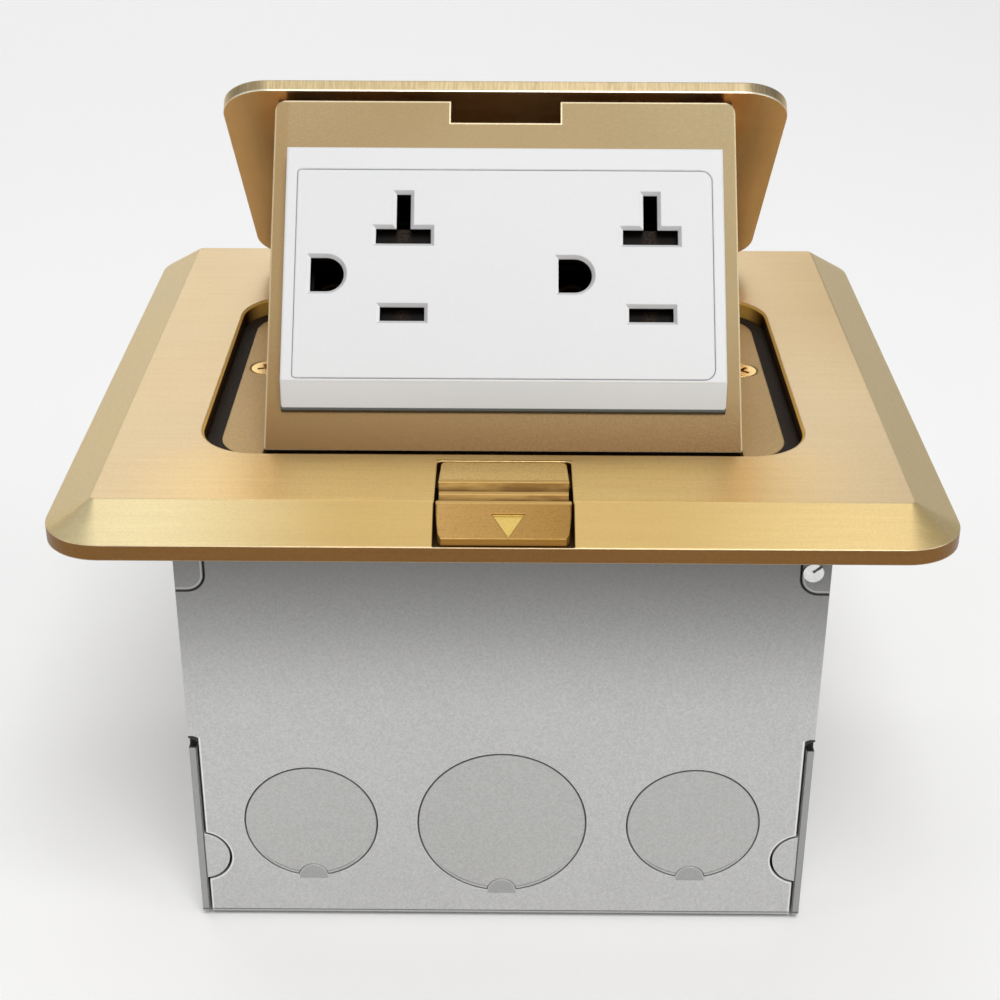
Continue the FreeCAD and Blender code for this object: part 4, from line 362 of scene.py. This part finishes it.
def latch_marks(m, col, tone):
    """Bare bright floor of the arrow; painted light across the sloping front face, lighter on the left; painted shade
    in the grip grooves, over the ridges, on the front lip and on the flanks.
    """
    x, y, z = part_of(m, 0), part_of(m, 1), part_of(m, 2)
    # height above the sloping face, whose top is at the crease
    d = m.n("ShaderNodeVectorMath", operation="DOT_PRODUCT")
    s = m.n("ShaderNodeVectorMath", operation="SUBTRACT")
    m.link(m.c, s.inputs[0])
    s.inputs[1].default_value = (0.0, -0.0546, 0.0855)
    m.link(s.outputs[0], d.inputs[0])
    t = math.radians(23.7)
    d.inputs[1].default_value = (0.0, -math.sin(t), math.cos(t))
    below = d.outputs["Value"]
    floor_ = m.math("MULTIPLY", inside(m, below, -0.0007, -0.00025), inside(m, y, -0.0606, -0.0558))
    wide_ = inside(m, x, 0.00082 - 0.0026, 0.00082 + 0.0026)
    floor_ = m.math("MULTIPLY", floor_, wide_)
    floor_ = m.math("MULTIPLY", floor_, m.ramp(z, 0.0823, 0.0824))
    # painted light: the sloping front face is lighter on the left, darker on the right
    front = m.math("MULTIPLY", m.ramp(y, -0.0548, -0.0545, 1.0, 0.0), m.ramp(z, 0.0823, 0.0824))
    side = m.ramp(x, -0.009, 0.010)
    face = m.mix(side, (0.56, 0.34, 0.115), (0.40, 0.225, 0.062))
    col = m.mix(front, col, m.mix(tone, tuple_scale(face, m, 0.78), face))
    col = m.mix(floor_, col, m.mix(tone, (0.66, 0.45, 0.11), (0.76, 0.55, 0.165)))
    # painted shade in the grip grooves, mottled, and over the ridges between them
    deep = m.ramp(z, 0.08544, 0.08554, 1.0, 0.0)
    top = inside(m, y, -0.0543, -0.0478, 0.0001)
    grooves = m.math("MULTIPLY", deep, top)
    groove_shade_mottle = m.ramp(m.noise(1.0, 2.0, 0.55, vec=m.map((150.0, 700.0, 700.0))), 0.40, 0.62)
    ridge = m.math("MULTIPLY", inside(m, y, -0.0547, -0.0472, 0.0001), m.ramp(z, 0.08535, 0.08545))
    col = m.mix(m.math("MULTIPLY", ridge, 0.60), col, (0.56, 0.35, 0.115))
    col = m.mix(m.math("MULTIPLY", grooves, 0.95), col, m.mix(groove_shade_mottle, (0.21, 0.105, 0.028), (0.39, 0.235, 0.074)))
    # painted shade on the front lip
    lip = m.ramp(z, 0.08268, 0.08280, 1.0, 0.0)
    col = m.mix(m.math("MULTIPLY", lip, 0.92), col, (0.42, 0.21, 0.042))
    m.dull = m.math("MAXIMUM", m.math("MAXIMUM", grooves, ridge), lip)
    # painted shade on the flanks of the button, which stand in the channel
    ax = m.math("ABSOLUTE", m.math("SUBTRACT", x, LATCH_X))
    flank = m.math("MULTIPLY", m.ramp(ax, 0.00955, 0.00975), m.ramp(z, 0.08530, 0.08548, 1.0, 0.0))
    col = m.mix(m.math("MULTIPLY", flank, 0.8), col, (0.14, 0.065, 0.018))
    return col


M = {}
def plate_marks(m, col, tone):
    """Painted light and shade on the plate: a warmer painted reflection on the top round the latch, painted shade on
    the left and rear right of the top, painted light on the front bevel, and painted light and shade in the opening and
    the latch channel.
    """
    y = part_of(m, 1)
    x = m.math("ABSOLUTE", part_of(m, 0))
    warm = m.math("MULTIPLY", m.ramp(y, -0.044, -0.030, 1.0, 0.0, smooth=True), m.ramp(x, 0.022, 0.062, 1.0, 0.0, smooth=True))
    z = part_of(m, 2)
    flat = m.ramp(z, 0.08535, 0.08550)
    xr = part_of(m, 0)
    # painted shade towards the left of the top and at its rear right; a warmer painted reflection on the top round the
    # latch
    col = m.mix(m.math("MULTIPLY", flat, m.ramp(xr, -0.055, 0.0, 0.16, 0.0)), col, (0.30, 0.22, 0.10))
    rearright = m.math("MULTIPLY", m.ramp(xr, 0.030, 0.058), m.ramp(y, -0.015, 0.020))
    col = m.mix(m.math("MULTIPLY", m.math("MULTIPLY", flat, rearright), 0.42), col, (0.44, 0.27, 0.06))
    col = m.mix(m.math("MULTIPLY", warm, flat), col, m.mix(tone, (0.86, 0.58, 0.21), (0.99, 0.72, 0.29)))
    # front bevel: painted light, brightest at the left end and darker in the middle
    tc = m.n("ShaderNodeTexCoord")
    ny = m.axis(tc.outputs["Normal"], 1)
    bevel = m.math("MULTIPLY", m.ramp(ny, -0.30, -0.40), m.ramp(ny, -0.75, -0.65))
    bevel = m.math("MULTIPLY", bevel, inside(m, z, 0.08165, 0.08555, 0.0001))
    xs = part_of(m, 0)
    ends = m.mix(m.ramp(xs, -0.01, 0.01), (0.93, 0.79, 0.46), (0.82, 0.62, 0.29))
    slope_light = m.mix(m.ramp(m.math("ABSOLUTE", xs), 0.020, 0.056, 0.0, 1.0, smooth=True), (0.60, 0.42, 0.165), ends)
    slope_light = m.mix(m.math("MULTIPLY", m.math("SUBTRACT", 1.0, tone), 0.18), slope_light, (0.30, 0.18, 0.05))
    col = m.mix(bevel, col, slope_light)
    # opening: painted highlight on the bevelled rim, painted shade on the wall below it, painted light on the wall at
    # the rear
    bay = m.math("MULTIPLY", inside(m, xs, -0.0474, 0.0474), inside(m, y, -0.0388, 0.0282))
    rim = m.math("MULTIPLY", bay, inside(m, z, 0.08518, 0.08552, 0.00004))
    rim_highlight = m.mix(m.ramp(y, -0.0372, -0.0350), (0.96, 0.78, 0.42), (1.0, 0.60, 0.12))
    col = m.mix(m.math("MULTIPLY", rim, 0.9), col, rim_highlight)
    wall = m.math("MULTIPLY", bay, inside(m, z, 0.0800, 0.08519, 0.00004))
    shade = m.mix(m.ramp(y, 0.0205, 0.0245), (0.085, 0.030, 0.006), (1.0, 0.60, 0.13))
    col = m.mix(m.math("MULTIPLY", wall, 0.95), col, shade)
    # latch channel: painted shade on the walls and floor beside and behind the button, and along the plate at its rear
    # edge
    ax = m.math("ABSOLUTE", m.math("SUBTRACT", xs, LATCH_X))
    channel_shade = m.math("MULTIPLY", m.ramp(ax, 0.01025, 0.01035, 1.0, 0.0), m.ramp(y, -0.0407, -0.0405, 1.0, 0.0))
    channel_shade = m.math("MULTIPLY", channel_shade, inside(m, z, 0.08150, 0.08535, 0.00005))
    channel_shade = m.math("MULTIPLY", channel_shade, m.ramp(y, -0.0610, -0.0608))
    col = m.mix(m.math("MULTIPLY", channel_shade, 0.95), col, (0.05, 0.022, 0.006))
    back_shade = m.math("MULTIPLY", m.ramp(ax, 0.01025, 0.01035, 1.0, 0.0), inside(m, y, -0.04085, -0.04050, 0.00005))
    col = m.mix(m.math("MULTIPLY", back_shade, 0.75), col, (0.22, 0.12, 0.035))
    m.dull = m.math("MULTIPLY", channel_shade, 1.0)
    m.matte = m.math("MAXIMUM", rim, m.math("MULTIPLY", wall, m.ramp(y, 0.0205, 0.0245)))
    return col


M["brass_plate"] = brushed("brass_plate", (0.80, 0.62, 0.37), (0.70, 0.52, 0.29), (0.97, 0.87, 0.62), rough=0.34, upright_shade=(0.25, 0.125, 0.040), side=(0.85, 0.665, 0.345), extra=plate_marks, marks_last=True)
M["latch_brass"] = brushed("latch_brass", (0.93, 0.63, 0.22), (0.70, 0.45, 0.14), (0.97, 0.80, 0.44), rough=0.34, edge_r=0.00022, grain=1.9, edge_gain=0.40, extra=latch_marks, marks_last=True)
M["zinc_sheet"] = zinc("zinc_sheet", (0.67, 0.67, 0.665), (0.51, 0.51, 0.505), extra=sheet_marks)
M["zinc_knockout"] = zinc("zinc_knockout", (0.60, 0.60, 0.59), (0.46, 0.46, 0.45), edge_gain=0.15, extra=knock_marks)
M["bracket_steel"] = zinc("bracket_steel", (0.58, 0.58, 0.57), (0.45, 0.45, 0.45), rough=0.38, metallic=0.9)
M["spring_steel"] = plain_metal("spring_steel", (0.42, 0.42, 0.43), (0.28, 0.28, 0.29), rough=0.3)
M["screw_steel"] = plain_metal("screw_steel", (0.80, 0.80, 0.79), (0.62, 0.62, 0.62), rough=0.22)
M["brass_screw"] = plain_metal("brass_screw", (0.92, 0.68, 0.30), (0.72, 0.48, 0.16), rough=0.20)
M["green_screw"] = plain_metal("green_screw", (0.10, 0.40, 0.16), (0.05, 0.26, 0.09), rough=0.3)
M["nickel_screw"] = plain_metal("nickel_screw", (0.82, 0.80, 0.76), (0.66, 0.64, 0.61), rough=0.18)
# painted shade: the contacts' brass is made very dark, as they sit deep in the well
M["contact_brass"] = plain_metal("contact_brass", (0.20, 0.13, 0.055), (0.09, 0.055, 0.022), rough=0.45)


def lid_marks(m, col, tone):
    """The cut front edge of the lid is pale, with fine lines across it, painted lighter on the left and with a painted
    highlight along its lower edge; the underside is brown satin, with a brighter band painted as fill light near the
    front.
    """
    tc = m.n("ShaderNodeTexCoord")
    d = m.n("ShaderNodeVectorMath", operation="DOT_PRODUCT")
    m.link(tc.outputs["Normal"], d.inputs[0])
    t = math.radians(45.7)
    d.inputs[1].default_value = (0.0, -math.cos(t), math.sin(t))
    front = m.ramp(d.outputs["Value"], 0.55, 0.75)
    lines = m.noise(1.0, 2.0, 0.55, vec=m.map((3600.0, 300.0, 300.0)))
    # painted light: the front edge is lighter on the left than on the right
    side = m.ramp(part_of(m, 0), -0.046, 0.046)
    pale = m.mix(m.ramp(lines, 0.32, 0.68), m.mix(side, (0.42, 0.32, 0.165), (0.33, 0.26, 0.145)), m.mix(side, (0.56, 0.45, 0.26), (0.45, 0.36, 0.225)))
    # painted highlight: a bright line along the lower corner of the front edge
    h = along(m, Vector((0.0, math.sin(t), math.cos(t))), Vector((0.0, 0.001816, 0.130817)))
    pale = m.mix(m.ramp(h, 0.00018, 0.00034, 1.0, 0.0), pale, (0.98, 0.92, 0.74))
    col = m.mix(front, col, pale)
    under = m.n("ShaderNodeVectorMath", operation="DOT_PRODUCT")
    m.link(tc.outputs["Normal"], under.inputs[0])
    under.inputs[1].default_value = (0.0, -math.sin(t), -math.cos(t))
    shade = m.noise(1.0, 3.0, 0.55, vec=m.map((140.0, 22.0, 22.0)))
    brown = m.mix(m.ramp(shade, 0.35, 0.65), (0.58, 0.40, 0.215), (0.70, 0.50, 0.29))
    brown = m.mix(m.math("MULTIPLY", tone, 0.45), brown, (0.78, 0.58, 0.36))
    run = along(m, Vector((0.0, math.cos(t), -math.sin(t))), Vector((0.0, 0.001816, 0.130817)))
    # painted fill light: a brighter band on the underside near the front, where the carrier shades it
    nook_fill_light = m.math("MULTIPLY", m.ramp(run, 0.010, 0.020, 1.0, 0.0), m.ramp(m.math("ABSOLUTE", part_of(m, 0)), 0.036, 0.042, 1.0, 0.0))
    band = m.mix(m.ramp(m.noise(1.0, 2.0, 0.5, vec=m.map((50.0, 150.0, 150.0))), 0.42, 0.60), (0.90, 0.48, 0.18), (1.0, 0.62, 0.28))
    brown = m.mix(nook_fill_light, brown, band)
    return m.mix(m.ramp(under.outputs["Value"], 0.75, 0.9), col, brown)


M["lid_brass"] = brushed("lid_brass", (0.74, 0.56, 0.30), (0.60, 0.42, 0.19), (0.97, 0.88, 0.62), rough=0.32, edge_r=0.00022, extra=lid_marks)


def carrier_marks(m, col):
    """Painted light and shade on the front plate: greyer towards the right, darker along its left edge, browner towards
    its foot and dark where it goes down into the opening, darker inside the carrier, and a painted highlight round its
    edges.
    """
    l = along(m, -UP, P0)
    w = along(m, OUT, P0)
    x = part_of(m, 0)
    # painted light: greyer towards the right; painted shade along the left edge, towards the foot and inside the
    # carrier
    col = m.mix(m.ramp(x, -0.037, 0.037, 0.0, 0.50), col, (0.27, 0.225, 0.125))
    col = m.mix(m.ramp(x, -0.0345, -0.0350, 0.0, 0.35), col, (0.26, 0.155, 0.050))
    col = m.mix(m.ramp(l, 0.034, 0.056, 0.0, 0.62), col, (0.225, 0.122, 0.034))
    back_shade = m.ramp(w, -0.0022, -0.0017, 1.0, 0.0)
    col = m.mix(m.math("MULTIPLY", back_shade, 0.35), col, (0.25, 0.16, 0.07))
    # painted highlight all round the edge of the front plate and its notch
    ax = m.math("ABSOLUTE", x)
    edge_highlight = m.math("MAXIMUM", m.math("MULTIPLY", m.ramp(ax, 0.03662, 0.03676), 0.40), m.ramp(l, 0.00014, 0.00028, 0.85, 0.0))
    jaw = m.math("MULTIPLY", inside(m, x, -0.00895, 0.00915), m.ramp(l, NOTCH + 0.00020, NOTCH + 0.00028, 1.0, 0.0))
    edge_highlight = m.math("MAXIMUM", edge_highlight, jaw)
    edge_highlight = m.math("MULTIPLY", edge_highlight, m.math("MULTIPLY", m.ramp(w, -0.0006, -0.0004), m.ramp(l, 0.0575, 0.0600, 1.0, 0.0)))
    # painted shade where the plate goes down into the opening
    col = m.mix(m.ramp(l, 0.0490, 0.0575, 0.0, 0.78), col, (0.155, 0.075, 0.017))
    return m.mix(m.math("MULTIPLY", edge_highlight, 0.80), col, (0.84, 0.72, 0.48))


M["gold_paint"] = sand_gold("gold_paint", (0.320, 0.217, 0.094), (0.215, 0.140, 0.057), (0.93, 0.82, 0.58), edge_r=0.00022, edge_hi=0.16, edge_gain=0.9, extra=carrier_marks)
M["frame_gold"] = sand_gold("frame_gold", (0.60, 0.41, 0.178), (0.43, 0.285, 0.115), (0.92, 0.74, 0.42), rough=0.44)


def rubber():
    m = Mat("gasket_rubber")
    a = m.noise(2600.0, 3.0, 0.7)
    b = m.voronoi(1900.0)
    col = m.mix(m.ramp(a, 0.42, 0.66), (0.008, 0.005, 0.003), (0.040, 0.027, 0.016))
    return m.set(color=col, metallic=0.0, rough=m.ramp(a, 0.3, 0.7, 0.62, 0.8), spec=0.35,
                 normal=m.bump(m.math("ADD", a, m.math("MULTIPLY", b, 0.6)), 0.6, 0.00006))


M["gasket_rubber"] = rubber()


def slot_dark(m, col):
    """Painted shade and light on the slots: each slot's wall below its bevel is painted black where it goes down into
    the well of the receptacle, and its bevels are painted light by the way they face, brightest facing right, darkest
    facing left.
    """
    w = along(m, OUT, P0)
    x = part_of(m, 0)
    deep = m.math("MULTIPLY", m.ramp(w, 0.00285, 0.0029, 1.0, 0.0), inside(m, x, -0.0322, 0.0322))
    tc = m.n("ShaderNodeTexCoord")
    nx = m.axis(tc.outputs["Normal"], 0)
    d = m.n("ShaderNodeVectorMath", operation="DOT_PRODUCT")
    m.link(tc.outputs["Normal"], d.inputs[0])
    d.inputs[1].default_value = UP
    nu = d.outputs["Value"]
    # painted light on the bevels round each slot, by the way each bevel faces
    rim = m.math("MULTIPLY", inside(m, w, 0.00292, 0.00347, 0.00002), inside(m, x, -0.0312, 0.0312))
    col = m.mix(m.math("MULTIPLY", rim, m.ramp(nx, 0.3, 0.6)), col, (0.90, 0.90, 0.90))
    col = m.mix(m.math("MULTIPLY", rim, m.ramp(nx, -0.3, -0.6)), col, (0.52, 0.52, 0.53))
    col = m.mix(m.math("MULTIPLY", rim, m.ramp(nu, 0.3, 0.6)), col, (0.62, 0.62, 0.63))
    col = m.mix(m.math("MULTIPLY", rim, m.ramp(nu, -0.3, -0.6)), col, (0.60, 0.60, 0.61))
    return m.mix(deep, col, (0.002, 0.002, 0.002))


def foot_grey_slope_light(m, col):
    """Slate-grey foot under the lower bevel of the surround, and a cooler grey painted on the lower bevel as painted
    light.
    """
    w = along(m, OUT, P0)
    l = along(m, -UP, P0)
    foot = m.math("MULTIPLY", m.ramp(w, 0.00092, 0.00098, 1.0, 0.0), m.ramp(l, 0.0505, 0.0507))
    slope_light = m.math("MULTIPLY", m.ramp(l, 0.0475, 0.0477), m.ramp(w, 0.0033, 0.0034, 1.0, 0.0))
    col = m.mix(slope_light, col, (0.765, 0.795, 0.83))
    return m.mix(foot, col, (0.13, 0.145, 0.147))


def well_black(m, col):
    """Black on the housing where it lies behind the slots, grey-white elsewhere."""
    w = along(m, OUT, P0)
    x = part_of(m, 0)
    l = along(m, -UP, P0)
    core = m.math("MULTIPLY", inside(m, x, -0.0315, 0.0315, 0.0001), inside(m, l, 0.0147, 0.0405, 0.0001))
    core = m.math("MULTIPLY", core, m.ramp(w, -0.0225, -0.0222))
    return m.mix(core, col, (0.002, 0.002, 0.002))


def strap_shade(m, col):
    """The strap's window edge lies in the black well."""
    return m.mix(m.math("MULTIPLY", m.ramp(along(m, OUT, P0), -0.0040, -0.0038), inside(m, part_of(m, 0), -0.0314, 0.0314)), col, (0.002, 0.002, 0.002))


def shutter_speck(m, col):
    """A faint brown mottle shows on the shutter in the middle of each slot."""
    x = part_of(m, 0)
    n_ = m.ramp(m.noise(4200.0, 1.0, 0.5), 0.42, 0.62)
    a = m.math("ADD", inside(m, x, -0.0168, -0.0148, 0.0004), inside(m, x, 0.02185, 0.02385, 0.0004))
    return m.mix(m.math("MULTIPLY", m.math("MULTIPLY", a, n_), 0.6), col, (0.075, 0.042, 0.022))


M["white_plastic"] = plastic("white_plastic", (0.765, 0.767, 0.775), (0.742, 0.744, 0.752), extra=foot_grey_slope_light, spec=0.3, rough=0.42)
M["white_face"] = plastic("white_face", (0.765, 0.767, 0.775), (0.742, 0.744, 0.752), extra=slot_dark, spec=0.2, rough=0.42)
M["housing_plastic"] = plastic("housing_plastic", (0.70, 0.70, 0.68), (0.60, 0.60, 0.58), rough=0.6, extra=well_black, spec=0.15)
M["strap_steel"] = zinc("strap_steel", (0.58, 0.58, 0.57), (0.45, 0.45, 0.45), rough=0.38, metallic=0.9, extra=strap_shade)
M["shutter_plastic"] = plastic("shutter_plastic", (0.010, 0.007, 0.005), (0.004, 0.003, 0.002), rough=0.6, extra=shutter_speck, spec=0.15)

OWN = {"receptacle_face": "white_face", "mounting_frame": "frame_gold", "mounting_strap": "strap_steel"}
for name, ob in NODES.items():
    slot = [s["material_slot"] for s in frame["record"]["subparts"] if s["node"] == name][0]
    ob.data.materials.clear()
    ob.data.materials.append(M[OWN.get(name, slot)])

# ---------------------------------------------------------------- stage: floor, light, camera
floor_mat = Mat("stage_floor")
floor = floor_mat.set(color=(0.955, 0.955, 0.955), rough=0.7, spec=0.2)
me = bpy.data.meshes.new("stage_floor")
S = 4.0
prof = [(-S, 0.0), (1.6, 0.0)]
R = 1.2
for k in range(1, 13):
    a = math.radians(90.0 * k / 12)
    prof.append((1.6 + R * math.sin(a), R - R * math.cos(a)))
prof.append((1.6 + R, 4.0))
vs, fs = [], []
for y, z in prof:
    vs += [(-S, y, z - 0.0004), (S, y, z - 0.0004)]
for k in range(len(prof) - 1):
    fs.append((2 * k, 2 * k + 1, 2 * k + 3, 2 * k + 2))
me.from_pydata(vs, [], fs)
me.update()
for p in me.polygons:
    p.use_smooth = True
fl_ob = bpy.data.objects.new("stage_floor", me)
bpy.context.scene.collection.objects.link(fl_ob)
me.materials.append(floor)

world = bpy.data.worlds.new("studio")
bpy.context.scene.world = world
world.use_nodes = True
bg = world.node_tree.nodes["Background"]
bg.inputs["Color"].default_value = (1.0, 1.0, 1.0, 1.0)
bg.inputs["Strength"].default_value = 0.38


def area(name, loc, target, sx, sy, power, color=(1, 1, 1)):
    d = bpy.data.lights.new(name, "AREA")
    d.shape = "RECTANGLE"
    d.size, d.size_y = sx, sy
    d.energy = power
    d.color = color
    o = bpy.data.objects.new(name, d)
    bpy.context.scene.collection.objects.link(o)
    o.location = loc
    o.rotation_euler = (Vector(target) - Vector(loc)).to_track_quat("-Z", "Y").to_euler()
    return o


area("key_softbox", (0.12, -0.62, 1.12), (0, 0, 0.08), 0.55, 0.45, 6.5)
area("top_softbox", (0.0, 0.10, 1.20), (0, 0, 0.08), 0.9, 0.5, 1.2)
area("left_softbox", (-0.95, -0.35, 0.65), (0, 0, 0.08), 0.5, 0.8, 1.3)
area("right_softbox", (1.0, -0.40, 0.6), (0, 0, 0.08), 0.5, 0.8, 2.2)
area("rear_softbox", (-0.35, 1.15, 0.75), (0, 0, 0.08), 1.6, 0.6, 2.2)
area("backdrop_wash", (-0.45, 1.05, 1.9), (-0.5, 2.6, 0.5), 2.0, 0.4, 12.0)

# camera
th, ps, ro = math.radians(27.274), math.radians(-0.210), math.radians(0.246)
F = Vector((math.sin(ps) * math.cos(th), math.cos(ps) * math.cos(th), -math.sin(th)))
Rv = Vector((math.cos(ps), -math.sin(ps), 0.0))
U = Rv.cross(F)
R2 = Rv * math.cos(ro) + U * math.sin(ro)
U2 = -Rv * math.sin(ro) + U * math.cos(ro)
cd = bpy.data.cameras.new("camera")
cd.sensor_fit = "HORIZONTAL"
cd.sensor_width = 36.0
cd.lens = 1853.45 * 36.0 / 1000.0
cd.clip_start = 0.01
cd.clip_end = 20.0
cam = bpy.data.objects.new("camera", cd)
bpy.context.scene.collection.objects.link(cam)
rot = Matrix((R2, U2, -F)).transposed()
cam.matrix_world = Matrix.Translation(Vector((0.00051, -0.29336, 0.20911))) @ rot.to_4x4()
bpy.context.scene.camera = cam
bpy.context.scene.view_settings.view_transform = "Standard"
